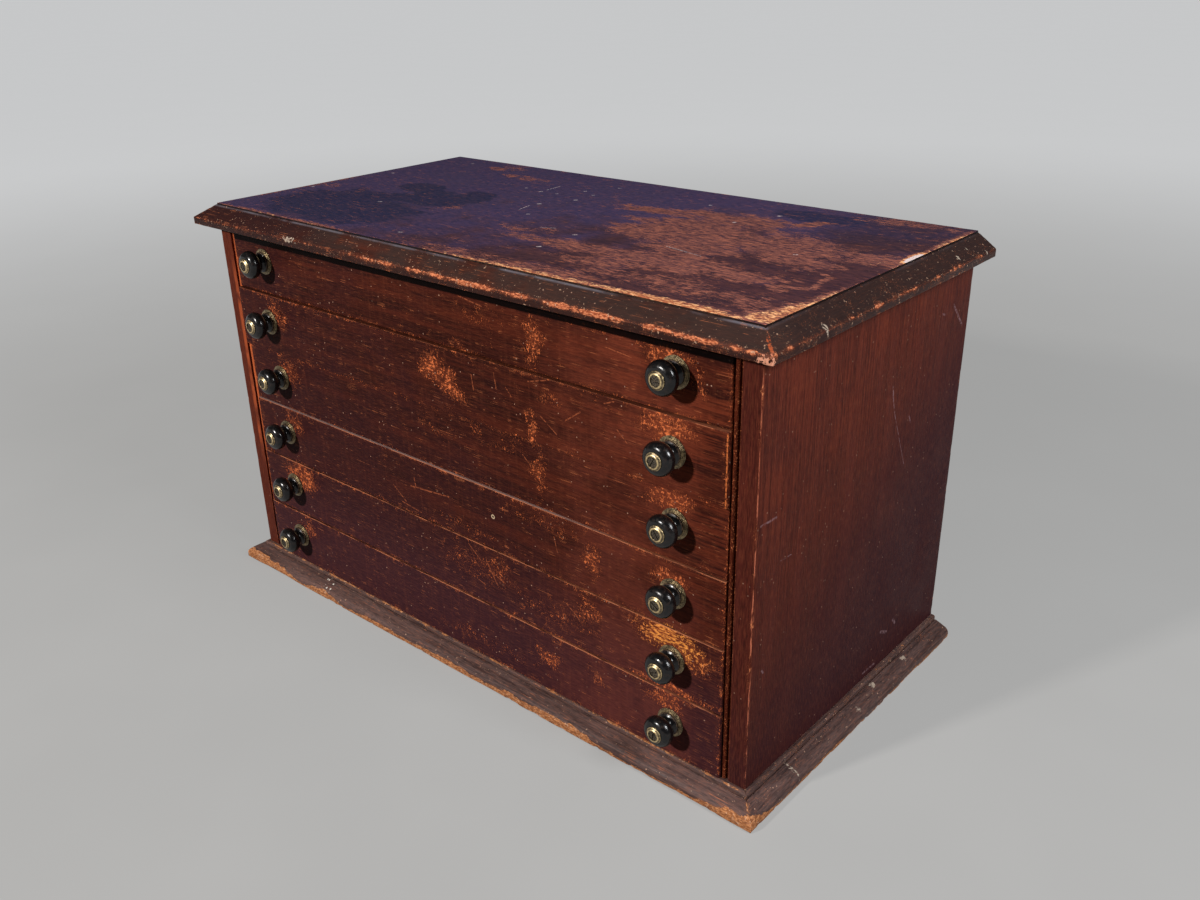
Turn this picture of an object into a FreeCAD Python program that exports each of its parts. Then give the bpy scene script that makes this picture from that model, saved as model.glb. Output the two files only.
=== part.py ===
import FreeCAD, Part
import os
import re
import Sketcher
from FreeCAD import Placement, Rotation, Vector

# A table-top spool cabinet: six shallow drawers in a plain case with a bevelled top and a
# moulded base. Millimetres, +Z up, drawer fronts towards -Y, +X to the right as one faces them.
# The origin is on the floor, in the middle of the box round the whole object.

DRAWERS = 6
DIVIDERS = 4
NAILS = 5

SIZES = {
    # case
    "case_width": 680.0,
    "case_depth": 345.0,
    "side_thickness": 17.0,
    "back_thickness": 8.0,
    "rebate_width": 8.0,
    "base_thickness": 20.4,
    # top: an upright edge, a bevel and a small step up to the flat field
    "top_overhang": 18.5,
    "top_edge": 7.6,
    "top_bevel": 12.1,
    "top_step": 1.7,
    "top_ledge": 0.9,
    "top_easing": 0.9,
    # base moulding, from the case outwards: bead, quirk, slope, rounded nose
    "base_overhang": 20.5,
    "base_bead_flat": 2.0,
    "base_bead_round": 2.6,
    "base_quirk_depth": 5.0,
    "base_quirk_width": 0.9,
    "base_slope_high": 16.2,
    "base_slope_low": 12.3,
    "base_nose": 6.0,
    "base_nose_foot": 4.0,
    # bead strip inside the front edge of each side
    "strip_width": 7.0,
    "strip_depth": 16.0,
    "bead_width": 4.2,
    "bead_quirk_depth": 3.0,
    # drawers
    "drawer_pitch": 63.5,
    "drawer_gap": 0.8,
    "drawer_side_gap": 0.6,
    "drawer_back_room": 12.0,
    "front_thickness": 17.0,
    "front_lap": 9.0,
    "drawer_side_thickness": 10.0,
    "drawer_side_drop": 4.7,
    "drawer_back_thickness": 10.0,
    "bottom_thickness": 4.0,
    "bottom_lift": 6.0,
    "bottom_inset": 4.5,
    "bottom_play": 0.2,
    "divider_thickness": 4.0,
    "divider_drop": 12.0,
    # how far each drawer stands out of the case in the rest pose, from the top one down
    "stand_out_1": 1.0,
    "stand_out_2": 4.4,
    "stand_out_3": 0.0,
    "stand_out_4": 1.2,
    "stand_out_5": 1.8,
    "stand_out_6": 3.0,
    # runners on the case sides, in grooves of the drawer sides
    "runner_height": 9.0,
    "runner_level": 33.0,
    "groove_depth": 5.0,
    "runner_play": 0.5,
    "runner_side_play": 0.6,
    "stop_play": 0.3,
    # knobs
    "knob_inset": 50.9,
    "knob_rise": 2.2,
    "plate_radius": 13.3,
    "plate_edge": 1.1,
    "plate_step_radius": 11.9,
    "plate_height": 2.7,
    "foot_radius": 10.4,
    "foot_edge": 1.3,
    "waist_radius": 7.2,
    "waist_reach": 8.2,
    "head_root_radius": 8.2,
    "head_back_reach": 10.2,
    "head_radius": 14.2,
    "head_front_reach": 22.8,
    "boss_radius": 7.5,
    "boss_rim_radius": 5.5,
    "boss_edge": 0.9,
    "knob_reach": 25.0,
    "screw_head_radius": 4.3,
    "screw_head_depth": 1.6,
    "screw_sink": 0.6,
    "slot_width": 0.9,
    "slot_depth": 0.8,
    "screw_radius": 2.0,
    "screw_hole_play": 0.1,
    "screw_bite": 10.0,
    # nails of the case back
    "nail_head_radius": 2.6,
    "nail_head_thickness": 0.9,
    "nail_radius": 1.1,
    "nail_length": 25.0,
    "nail_margin": 30.0,
}

doc = FreeCAD.newDocument("spool_cabinet")
sheet = doc.addObject("Spreadsheet::Sheet", "dims")
for row, (alias, value) in enumerate(SIZES.items(), start=1):
    sheet.set(f"A{row}", str(value))
    sheet.setAlias(f"A{row}", alias)
doc.recompute()

# Places worked out from the driving sizes, as formulas. FRONT is the plane of the case's front
# edge, BACK that of its back, REACH how far the foremost knob stands before FRONT.
STAND_OUTS = "; ".join(f"stand_out_{number}" for number in range(1, DRAWERS + 1))
REACH = f"max(max({STAND_OUTS}) + knob_reach; base_overhang; top_overhang)"
FRONT = f"(({REACH} - case_depth) / 2)"
BACK = f"({FRONT} + case_depth)"
HALF = "(case_width / 2)"
INSIDE = f"({HALF} - side_thickness)"
OPENING = f"({INSIDE} - strip_width)"
FLOOR = "base_thickness"
CEILING = f"(base_thickness + {DRAWERS} * drawer_pitch)"
DRAWER_HALF = f"({OPENING} - drawer_side_gap)"
DRAWER_INSIDE = f"({DRAWER_HALF} - drawer_side_thickness)"
DRAWER_DEPTH = "(case_depth - back_thickness - drawer_back_room)"
SIDE_HEIGHT = "(drawer_pitch - drawer_gap - drawer_side_drop)"

pieces = []


def bound(formula):
    """The formula with each size's name pointed at its cell in the sheet."""
    return re.sub(r"\b(" + "|".join(SIZES) + r")\b", r"dims.\1", formula)


def measure(formula):
    """The value that the formula has now, in millimetres."""
    return float(sheet.evalExpression(bound(formula)))


def name_piece(thing, label):
    """Keeps a finished sub-part under the name that its file gets."""
    thing.Label = label
    pieces.append(thing)
    return thing


def block(label, low, high):
    """A rectangular board between its low and high corners, each three formulas."""
    board = doc.addObject("Part::Box", label)
    for size, start, end in zip(("Length", "Width", "Height"), low, high):
        board.setExpression(size, bound(f"({end}) - ({start})"))
    for axis, start in zip("xyz", low):
        board.setExpression("Placement.Base." + axis, bound(start))
    return board


def rod(label, radius, length, centre, turn):
    """A round rod from a centre point, along +Z turned by the rotation."""
    round_bar = doc.addObject("Part::Cylinder", label)
    round_bar.setExpression("Radius", bound(radius))
    round_bar.setExpression("Height", bound(length))
    round_bar.Placement = Placement(Vector(), turn)
    for axis, start in zip("xyz", centre):
        round_bar.setExpression("Placement.Base." + axis, bound(start))
    return round_bar


def group(label, members):
    """Separate solids kept together as one sub-part."""
    together = doc.addObject("Part::Compound", label)
    together.Links = members
    return together


def mirrored(label, source):
    """The same thing on the other side of the cabinet's middle plane."""
    twin = doc.addObject("Part::Mirroring", label)
    twin.Source = source
    twin.Base = Vector(0, 0, 0)
    twin.Normal = Vector(1, 0, 0)
    return twin


def cut(label, blank, tools):
    """The blank with every tool's space taken out of it."""
    waste = tools[0]
    if len(tools) > 1:
        waste = doc.addObject("Part::MultiFuse", label + "_waste")
        waste.Shapes = tools
    result = doc.addObject("Part::Cut", label)
    result.Base = blank
    result.Tool = waste
    return result


def origin_plane(body, role):
    """One of the body's own origin planes, found by its role."""
    return next(item for item in body.Origin.OriginFeatures if item.Role == role)


def arc_radius(start, end, rise):
    """The radius of an arc, from its chord's two ends and its rise above the chord."""
    across = f"(({end[0]}) - ({start[0]}))"
    along = f"(({end[1]}) - ({start[1]}))"
    return f"(({across}^2 + {along}^2) / 4 + ({rise})^2) / (2 * ({rise}))"


def outline(body, name, role, corners, rises=None):
    """A closed sketch through the corners, counter-clockwise. A side whose index has a rise is
    an arc, which bulges outwards by it, or inwards where it is negative."""
    rises = rises or {}
    sketch = body.newObject("Sketcher::SketchObject", name)
    sketch.AttachmentSupport = [(origin_plane(body, role), "")]
    sketch.MapMode = "FlatFace"
    spots = [Vector(measure(across), measure(along), 0) for across, along in corners]
    first_end = {}
    for index, start in enumerate(spots):
        end = spots[(index + 1) % len(spots)]
        first_end[index] = 1
        if index not in rises:
            sketch.addGeometry(Part.LineSegment(start, end), False)
            continue
        rise = measure(rises[index])
        chord = end - start
        outwards = Vector(chord.y, -chord.x, 0).normalize()
        middle = (start + end) * 0.5 + outwards * rise
        ends = (start, middle, end)
        if rise < 0:
            ends = (end, middle, start)
            first_end[index] = 2
        sketch.addGeometry(Part.Arc(*ends), False)
    for index in first_end:
        following = (index + 1) % len(spots)
        last_end = 3 - first_end[index]
        ends = (index, last_end, following, first_end[following])
        sketch.addConstraint(Sketcher.Constraint("Coincident", *ends))
    for index, corner in enumerate(corners):
        for kind, formula, axis in (("DistanceX", corner[0], -2), ("DistanceY", corner[1], -1)):
            point = (index, first_end[index])
            if formula == "0":
                sketch.addConstraint(Sketcher.Constraint("PointOnObject", *point, axis))
                continue
            held = Sketcher.Constraint(kind, -1, 1, *point, measure(formula))
            name_constraint(sketch, sketch.addConstraint(held), f"{kind}_{index}", formula)
    for index, rise in rises.items():
        following = corners[(index + 1) % len(corners)]
        size = rise if measure(rise) > 0 else f"(-({rise}))"
        radius = arc_radius(corners[index], following, size)
        held = Sketcher.Constraint("Radius", index, measure(radius))
        name_constraint(sketch, sketch.addConstraint(held), f"Radius_{index}", radius)
    return sketch


def name_constraint(sketch, index, name, formula):
    """Names one constraint of the sketch and ties it to its formula."""
    sketch.renameConstraint(index, name)
    sketch.setExpression("Constraints." + name, bound(formula))


def new_body(label, turn, place):
    """A body turned into position, at a place given by three formulas."""
    body = doc.addObject("PartDesign::Body", label)
    body.Placement = Placement(Vector(), turn)
    for axis, start in zip("xyz", place):
        body.setExpression("Placement.Base." + axis, bound(start))
    return body


def run_moulding(label, turn, place, profile, length, mitres):
    """A moulding: a profile of outward and upward sizes, run along its length, with its ends
    mitred where the named end, near or far, meets another length round a corner."""
    corners, rises, width = profile
    body = new_body(label, turn, place)
    sketch = outline(body, label + "_profile", "XY_Plane", corners, rises)
    run = body.newObject("PartDesign::Pad", label + "_run")
    run.Profile = sketch
    run.setExpression("Length", bound(length))
    wedges = {
        "near": [("0", "0"), (width, "0"), ("0", width)],
        "far": [("0", f"{length} - {width}"), (width, length), ("0", length)],
    }
    for end in mitres:
        doc.recompute()
        before = run.Shape.Volume
        wedge = outline(body, f"{label}_{end}_wedge", "XZ_Plane", wedges[end])
        mitre = body.newObject("PartDesign::Pocket", f"{label}_{end}_mitre")
        mitre.Profile = wedge
        mitre.Type = "ThroughAll"
        mitre.SideType = "Symmetric"
        doc.recompute()
        if mitre.Shape.Volume > before - 1.0:
            raise RuntimeError(f"the {end} mitre of {label} cuts nothing")
        run = mitre
    return body


def turned(label, place, corners, rises=None):
    """A turned piece about the axis of a knob. Corners are radius and reach, and the reach
    runs straight out of the drawer front, towards -Y."""
    body = new_body(label, Rotation(Vector(0, 0, 1), 180), place)
    sketch = outline(body, label + "_profile", "XY_Plane", corners, rises)
    lathe = body.newObject("PartDesign::Revolution", label + "_turning")
    lathe.Profile = sketch
    lathe.ReferenceAxis = (sketch, ["V_Axis"])
    lathe.Angle = 360.0
    return body


# How a moulding's own outward, upward and lengthwise directions lie on the cabinet.
ALONG_FRONT = Rotation(Vector(0, -1, 0), Vector(0, 0, 1), Vector(-1, 0, 0), "ZXY")
ALONG_SIDE = Rotation(Vector(1, 0, 0), Vector(0, 0, 1), Vector(0, -1, 0), "ZXY")
UPRIGHT = Rotation()
TO_FRONT = Rotation(Vector(1, 0, 0), 90)


def make_case_sides():
    """Two boards on edge, each with a rebate for the back along its inner back edge."""
    board = block("side_board", (INSIDE, FRONT, FLOOR), (HALF, BACK, CEILING))
    rebate = block(
        "side_rebate",
        (INSIDE, f"{BACK} - back_thickness", FLOOR),
        (f"{INSIDE} + rebate_width", BACK, CEILING),
    )
    right = cut("side_with_rebate", board, [rebate, nail_row("side_nail_holes")])
    name_piece(group("right_side", [right]), "case_side_right")
    name_piece(mirrored("left_side", right), "case_side_left")


def make_case_back():
    """A thin panel between the rebates of the sides, bored by its own nails."""
    edge = f"({INSIDE} + rebate_width)"
    panel = block(
        "back_panel", (f"-{edge}", f"{BACK} - back_thickness", FLOOR), (edge, BACK, CEILING)
    )
    right_nails = nail_row("back_nail_holes")
    left_nails = mirrored("back_nail_holes_left", right_nails)
    name_piece(cut("back_with_holes", panel, [right_nails, left_nails]), "case_back")
    nails = nail_row("nails_right")
    pair = group("nails", [nails, mirrored("nails_left", nails)])
    name_piece(pair, "back_nails")


def nail_row(label):
    """A row of nails up one side, through the back panel and into the case side, with their
    heads flush with the panel."""
    across = f"{INSIDE} + rebate_width / 2"
    low = f"({FLOOR} + nail_margin)"
    step = f"(({CEILING} - nail_margin - {low}) / {NAILS - 1})"
    nails = []
    for number in range(NAILS):
        centre = (across, BACK, f"{low} + {number} * {step}")
        name = f"{label}_{number + 1}"
        head = rod(name + "_head", "nail_head_radius", "nail_head_thickness", centre, TO_FRONT)
        shank = rod(name + "_shank", "nail_radius", "nail_length", centre, TO_FRONT)
        nail = doc.addObject("Part::Fuse", name)
        nail.Base = head
        nail.Tool = shank
        nails.append(nail)
    return group(label, nails)


def make_top():
    """A flat board over the case, framed in front and at both ends by a bevelled moulding that
    is mitred at the front corners and cut square at the back."""
    height = "(top_edge + top_bevel)"
    name_piece(
        block(
            "top_field",
            (f"-{HALF}", FRONT, CEILING),
            (HALF, BACK, f"{CEILING} + {height} + top_step"),
        ),
        "top_board",
    )
    corners = [
        ("0", "0"),
        ("top_overhang - top_easing", "0"),
        ("top_overhang", "top_easing"),
        ("top_overhang", "top_edge"),
        ("top_ledge", height),
        ("0", height),
    ]
    profile = (corners, {1: "0.29 * top_easing"}, "top_overhang")
    length = "(case_width + 2 * top_overhang)"
    place = (f"{HALF} + top_overhang", FRONT, CEILING)
    ends = ["near", "far"]
    front = run_moulding("top_front", ALONG_FRONT, place, profile, length, ends)
    name_piece(front, "top_moulding_front")
    length = "(case_depth + top_overhang)"
    place = (HALF, BACK, CEILING)
    right = run_moulding("top_end", ALONG_SIDE, place, profile, length, ["far"])
    ends = group("top_ends", [right, mirrored("top_end_left", right)])
    name_piece(ends, "top_moulding_ends")


def make_base():
    """A flat board under the case, framed like the top by a moulding with a bead next to the
    case, a quirk, a long slope and a rounded nose."""
    name_piece(
        block("base_field", (f"-{HALF}", FRONT, "0"), (HALF, BACK, FLOOR)),
        "base_board",
    )
    bead = "(base_bead_flat + base_bead_round)"
    corners = [
        ("0", "0"),
        ("base_overhang", "0"),
        ("base_overhang", "base_nose_foot"),
        ("base_overhang - base_nose", "base_slope_low"),
        (f"{bead} + base_quirk_width", "base_slope_high"),
        (bead, "base_thickness - base_quirk_depth"),
        (bead, "base_thickness - base_bead_round"),
        ("base_bead_flat", "base_thickness"),
        ("0", "base_thickness"),
    ]
    rises = {2: "0.3 * base_nose", 6: "0.29 * base_bead_round"}
    profile = (corners, rises, "base_overhang")
    length = "(case_width + 2 * base_overhang)"
    place = (f"{HALF} + base_overhang", FRONT, "0")
    ends = ["near", "far"]
    front = run_moulding("base_front", ALONG_FRONT, place, profile, length, ends)
    name_piece(front, "base_moulding_front")
    length = "(case_depth + base_overhang)"
    right = run_moulding("base_end", ALONG_SIDE, (HALF, BACK, "0"), profile, length, ["far"])
    ends = group("base_ends", [right, mirrored("base_end_left", right)])
    name_piece(ends, "base_moulding_ends")


def make_bead_strips():
    """A strip inside the front edge of each side, which closes the gap beside the drawers: a
    bead next to the drawers, then a quirk."""
    corners = [
        ("0", "bead_width / 2"),
        ("bead_width", "bead_width / 2"),
        ("bead_width", "bead_quirk_depth"),
        ("strip_width", "bead_quirk_depth"),
        ("strip_width", "strip_depth"),
        ("0", "strip_depth"),
    ]
    body = new_body("bead_strip", UPRIGHT, (OPENING, FRONT, FLOOR))
    sketch = outline(body, "bead_strip_profile", "XY_Plane", corners, {0: "0.48 * bead_width"})
    run = body.newObject("PartDesign::Pad", "bead_strip_run")
    run.Profile = sketch
    run.setExpression("Length", bound(f"{DRAWERS} * drawer_pitch"))
    name_piece(group("strips", [body, mirrored("bead_strip_left", body)]), "bead_strips")


def make_runners():
    """A runner on each case side for every drawer, from behind the drawer's front to the case
    back. Its top carries the roof of the groove in the drawer's side."""
    runners = []
    for number in range(1, DRAWERS + 1):
        top = f"({front_foot(number)} + runner_level)"
        low = (
            f"{DRAWER_HALF} - groove_depth + runner_side_play",
            f"{FRONT} + front_thickness + stop_play",
            f"{top} - runner_height",
        )
        high = (INSIDE, f"{BACK} - back_thickness", top)
        runner = block(f"runner_{number}", low, high)
        runners += [runner, mirrored(f"runner_{number}_left", runner)]
    name_piece(group("runners", runners), "drawer_runners")


def front_foot(number):
    """The height of a drawer front's lower edge, with drawer 1 at the top."""
    return f"(base_thickness + {DRAWERS - number} * drawer_pitch + drawer_gap / 2)"


def front_face(number):
    """Where a drawer's front face stands in the rest pose."""
    return f"({FRONT} - stand_out_{number})"


def make_drawer(number):
    """One drawer: a front with lapped ends, two grooved sides, a back, a thin bottom slid into
    grooves, dividers for the rows of spools, and two knobs."""
    name = f"drawer_{number}"
    face = front_face(number)
    foot = front_foot(number)
    make_front(name, face, foot)
    make_drawer_sides(name, face, foot)
    make_drawer_back(name, face, foot)
    make_drawer_bottom(name, face, foot)
    make_dividers(name, face, foot)
    make_knobs(name, face, foot)


def knob_axis(face, foot):
    """The point of the right-hand knob's axis on the drawer's face."""
    height = f"{foot} + (drawer_pitch - drawer_gap) / 2 + knob_rise"
    return (f"({DRAWER_HALF} - knob_inset)", face, height)


def make_front(name, face, foot):
    """The front board: a lap at each end takes the drawer side, a groove takes the bottom, and
    two holes take the knob screws."""
    inner = f"({face} + front_thickness)"
    head = f"({foot} + drawer_pitch - drawer_gap)"
    low = (f"-{DRAWER_HALF}", face, foot)
    blank = block(name + "_front_blank", low, (DRAWER_HALF, inner, head))
    lap = block(
        name + "_front_lap",
        (DRAWER_INSIDE, f"{inner} - front_lap", foot),
        (DRAWER_HALF, inner, head),
    )
    groove = block(
        name + "_front_groove",
        (f"-{DRAWER_INSIDE}", f"{inner} - bottom_inset - bottom_play", f"{foot} + bottom_lift"),
        (DRAWER_INSIDE, inner, f"{foot} + bottom_lift + bottom_thickness + bottom_play"),
    )
    across, _, height = knob_axis(face, foot)
    hole = rod(
        name + "_screw_hole",
        "screw_radius + screw_hole_play",
        "screw_bite",
        (across, f"{face} + screw_bite", height),
        TO_FRONT,
    )
    left_lap = mirrored(name + "_front_lap_left", lap)
    left_hole = mirrored(name + "_screw_hole_left", hole)
    tools = [lap, left_lap, groove, hole, left_hole]
    name_piece(cut(name + "_front_board", blank, tools), name + "_front")


def make_drawer_sides(name, face, foot):
    """The two sides: a runner groove outside, open at the back, and a bottom groove inside."""
    inner = f"({face} + front_thickness)"
    rear = f"({face} + {DRAWER_DEPTH})"
    blank = block(
        name + "_side_blank",
        (DRAWER_INSIDE, f"{inner} - front_lap", foot),
        (DRAWER_HALF, rear, f"{foot} + {SIDE_HEIGHT}"),
    )
    roof = f"({foot} + runner_level)"
    runner_groove = block(
        name + "_runner_groove",
        (f"{DRAWER_HALF} - groove_depth", inner, f"{roof} - runner_height - runner_play"),
        (DRAWER_HALF, rear, roof),
    )
    bottom_groove = block(
        name + "_bottom_groove",
        (DRAWER_INSIDE, f"{inner} - front_lap", f"{foot} + bottom_lift"),
        (
            f"{DRAWER_INSIDE} + bottom_inset + bottom_play",
            rear,
            f"{foot} + bottom_lift + bottom_thickness + bottom_play",
        ),
    )
    right = cut(name + "_side", blank, [runner_groove, bottom_groove])
    name_piece(group(name + "_right", [right]), name + "_side_right")
    name_piece(mirrored(name + "_left", right), name + "_side_left")


def make_drawer_back(name, face, foot):
    """The back stands between the sides, on the bottom."""
    rear = f"({face} + {DRAWER_DEPTH})"
    low = (
        f"-{DRAWER_INSIDE}",
        f"{rear} - drawer_back_thickness",
        f"{foot} + bottom_lift + bottom_thickness",
    )
    high = (DRAWER_INSIDE, rear, f"{foot} + {SIDE_HEIGHT}")
    name_piece(block(name + "_back_board", low, high), name + "_back")


def make_drawer_bottom(name, face, foot):
    """A thin panel with its edges in the grooves of the front and the sides."""
    edge = f"({DRAWER_INSIDE} + bottom_inset)"
    low = (f"-{edge}", f"{face} + front_thickness - bottom_inset", f"{foot} + bottom_lift")
    high = (edge, f"{face} + {DRAWER_DEPTH}", f"{foot} + bottom_lift + bottom_thickness")
    blank = block(name + "_bottom_blank", low, high)
    name_piece(group(name + "_panel", [blank]), name + "_bottom")


def make_dividers(name, face, foot):
    """Thin slats from front to back, evenly spaced, which stand on the bottom."""
    spaces = DIVIDERS + 1
    space = f"((2 * {DRAWER_INSIDE} - {DIVIDERS} * divider_thickness) / {spaces})"
    base = f"({foot} + bottom_lift + bottom_thickness)"
    slats = []
    for index in range(1, spaces):
        left = f"(-{DRAWER_INSIDE} + {index} * {space} + {index - 1} * divider_thickness)"
        low = (left, f"{face} + front_thickness", base)
        rear = f"{face} + {DRAWER_DEPTH} - drawer_back_thickness"
        high = (f"{left} + divider_thickness", rear, f"{foot} + {SIDE_HEIGHT} - divider_drop")
        slats.append(block(f"{name}_slat_{index}", low, high))
    name_piece(group(name + "_slats", slats), name + "_dividers")


def make_knobs(name, face, foot):
    """Two turned black knobs, each on a stepped brass plate, capped by a brass boss and held by
    a slotted screw that runs through them into the drawer front."""
    place = knob_axis(face, foot)
    bore = "screw_radius + screw_hole_play"
    knob = turned_knob(name, place, bore)
    pair = group(name + "_knob_pair", [knob, mirrored(name + "_knob_left", knob)])
    name_piece(pair, name + "_knobs")
    right = [turned_plate(name, place, bore), turned_boss(name, place), knob_screw(name, place)]
    left = [mirrored(item.Name + "_left", item) for item in right]
    name_piece(group(name + "_fittings", right + left), name + "_knob_fittings")


def turned_knob(name, place, bore):
    """The black knob: flared foot, hollow waist and round head, bored for its screw."""
    corners = [
        (bore, "plate_height"),
        ("foot_radius", "plate_height"),
        ("foot_radius", "plate_height + foot_edge"),
        ("waist_radius", "waist_reach"),
        ("head_root_radius", "head_back_reach"),
        ("head_root_radius", "head_front_reach"),
        (bore, "head_front_reach"),
    ]
    rises = {2: "-0.18 * (foot_radius - waist_radius)", 4: "head_radius - head_root_radius"}
    return turned(name + "_knob", place, corners, rises)


def turned_plate(name, place, bore):
    """The brass plate between knob and drawer: a thin rim and a raised step."""
    corners = [
        (bore, "0"),
        ("plate_radius", "0"),
        ("plate_radius", "plate_edge"),
        ("plate_step_radius", "plate_edge"),
        ("plate_step_radius", "plate_height"),
        (bore, "plate_height"),
    ]
    return turned(name + "_plate", place, corners)


def turned_boss(name, place):
    """The brass boss on the knob's head: a short cylinder and a cone up to the rim round the
    screw head."""
    hole = "screw_head_radius + screw_hole_play"
    corners = [
        (hole, "head_front_reach"),
        ("boss_radius", "head_front_reach"),
        ("boss_radius", "head_front_reach + boss_edge"),
        ("boss_rim_radius", "knob_reach"),
        (hole, "knob_reach"),
    ]
    return turned(name + "_boss", place, corners)


def knob_screw(name, place):
    """The screw: a flat slotted head sunk in the boss, and a shank into the drawer front."""
    top = "(knob_reach - screw_sink)"
    under = f"({top} - screw_head_depth)"
    across, face, height = place
    head = rod(
        name + "_screw_head",
        "screw_head_radius",
        "screw_head_depth",
        (across, f"{face} - {under}", height),
        TO_FRONT,
    )
    shank = rod(
        name + "_screw_shank",
        "screw_radius",
        f"{under} + screw_bite",
        (across, f"{face} + screw_bite", height),
        TO_FRONT,
    )
    slot = block(
        name + "_screw_slot",
        (f"{across} - slot_width / 2", f"{face} - {top}", f"{height} - screw_head_radius"),
        (
            f"{across} + slot_width / 2",
            f"{face} - {top} + slot_depth",
            f"{height} + screw_head_radius",
        ),
    )
    solid = doc.addObject("Part::Fuse", name + "_screw_blank")
    solid.Base = head
    solid.Tool = shank
    return cut(name + "_screw", solid, [slot])


def check_and_write():
    """Stops at any failed object or empty or open shape, then writes each sub-part's file."""
    doc.recompute()
    for thing in doc.Objects:
        if {"Invalid", "Error"} & set(thing.State):
            raise RuntimeError(f"{thing.Label} failed: {thing.State}")
    os.makedirs("parts", exist_ok=True)
    for piece in pieces:
        shape = piece.Shape
        if shape.isNull() or not shape.isValid() or not shape.Solids:
            raise RuntimeError(f"{piece.Label} has no sound solid")
    for piece in pieces:
        piece.Shape.exportStep(f"parts/{piece.Label}.step")
        print(piece.Label, len(piece.Shape.Solids), round(piece.Shape.Volume / 1000, 1), "cm3")
    whole = Part.makeCompound([piece.Shape for piece in pieces]).BoundBox
    print("whole", [round(v, 2) for v in (whole.XMin, whole.XMax, whole.YMin, whole.YMax)],
          round(whole.ZMin, 2), round(whole.ZMax, 2), "nodes", len(pieces))


make_case_sides()
make_case_back()
make_top()
make_base()
make_bead_strips()
make_runners()
for drawer in range(1, DRAWERS + 1):
    make_drawer(drawer)
check_and_write()
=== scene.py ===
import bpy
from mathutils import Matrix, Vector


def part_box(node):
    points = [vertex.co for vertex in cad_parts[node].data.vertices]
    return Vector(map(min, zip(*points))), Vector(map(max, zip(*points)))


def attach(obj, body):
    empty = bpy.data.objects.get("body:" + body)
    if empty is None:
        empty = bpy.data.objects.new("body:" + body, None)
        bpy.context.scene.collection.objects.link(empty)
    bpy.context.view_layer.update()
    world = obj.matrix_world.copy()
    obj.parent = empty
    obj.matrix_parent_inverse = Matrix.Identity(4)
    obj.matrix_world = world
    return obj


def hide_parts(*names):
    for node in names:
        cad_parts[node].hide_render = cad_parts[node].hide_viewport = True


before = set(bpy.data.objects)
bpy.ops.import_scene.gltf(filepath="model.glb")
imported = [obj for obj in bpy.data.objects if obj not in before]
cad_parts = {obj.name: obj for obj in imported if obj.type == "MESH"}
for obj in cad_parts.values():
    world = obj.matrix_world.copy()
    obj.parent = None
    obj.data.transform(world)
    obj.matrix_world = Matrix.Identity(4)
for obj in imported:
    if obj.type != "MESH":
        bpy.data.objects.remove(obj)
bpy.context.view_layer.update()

# %% [markdown]
# An old table-top spool cabinet: six shallow drawers in a plain case, with a bevelled top, a
# moulded base, and two turned black knobs on every drawer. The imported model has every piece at
# its true size. What it lacks is age: rubbed corners, chips, bare wood and grain. So each piece
# that shows is worked out again as a fine grid of points, and the others only get a finish.
# %% Tools and units
from functools import reduce

import bpy
import numpy as np
from mathutils import Matrix

MM = 0.001
DRAWERS = range(1, 7)
scene = bpy.context.scene
X, Y, Z = np.eye(3)


def corners_of(node):
    """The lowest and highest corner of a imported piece, in mm."""
    return [(np.array(corner) / MM).tolist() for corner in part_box(node)]


(_, FRONT, FLOOR), (HALF, BACK, CEILING) = corners_of("case_side_right")
DEEP, HIGH = BACK - FRONT, CEILING - FLOOR
print("case", 2 * HALF, "mm wide, front edge at", round(FRONT, 1), "opening", FLOOR, CEILING)

# %% [markdown]
# Wear needs smooth random numbers in space that come out the same on every run. Value noise does
# that: every lattice point has a fixed random number, and the numbers blend in between.
# %% Smooth noise and soft steps
def lattice(cell, seed):
    """A fixed number between -1 and 1 for each lattice point: its indices and the seed are
    multiplied by large primes, mixed by a shift, and cut to 24 bits."""
    key = cell @ np.array([73856093, 19349663, 83492791]) + seed * 1013904223
    key = (key ^ (key >> 13)) * 1274126177
    key = key ^ (key >> 16)
    return (key & 0xFFFFFF) / 0x7FFFFF - 1.0


def soft(low, high, value):
    """0 below low, 1 above high, and the eased ramp 3t^2 - 2t^3 between them."""
    t = np.clip((value - low) / (high - low), 0, 1)
    return t * t * (3 - 2 * t)


def noise(place, size, seed=0):
    """Noise between -1 and 1 in cells of that size: the eight lattice numbers round each point,
    weighted by its eased distances along the axes."""
    spot = np.asarray(place) / size
    cell = np.floor(spot).astype(np.int64)
    part = soft(0, 1, spot - cell)
    return sum(np.prod(np.where(corner, part, 1 - part), axis=-1) * lattice(cell + corner, seed)
               for corner in np.ndindex(2, 2, 2))


def blots(across, up, marks, whole=0.2, gone=1.35):
    """The strongest of several oval marks at each point. A mark is its centre, its two
    half-widths and its strength, and fades between two shares of its half-widths."""
    return reduce(np.maximum, [
        strength * (1 - soft(whole, gone, np.hypot((across - x) / wide, (up - z) / high)))
        for x, z, wide, high, strength in marks])


print("noise at the origin", round(noise(np.zeros((1, 3)), 10.0, 1)[0], 3))

# %% [markdown]
# Nearly every piece is one outline, carried along a straight run. A bevel modifier would treat all
# its corners alike, so here each has its own small radius and a number for how much it wears:
# outer corners are rubbed, inner ones aren't.
# %% Outlines with rounded corners
REACH_OF_WEAR = 2.6


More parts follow.
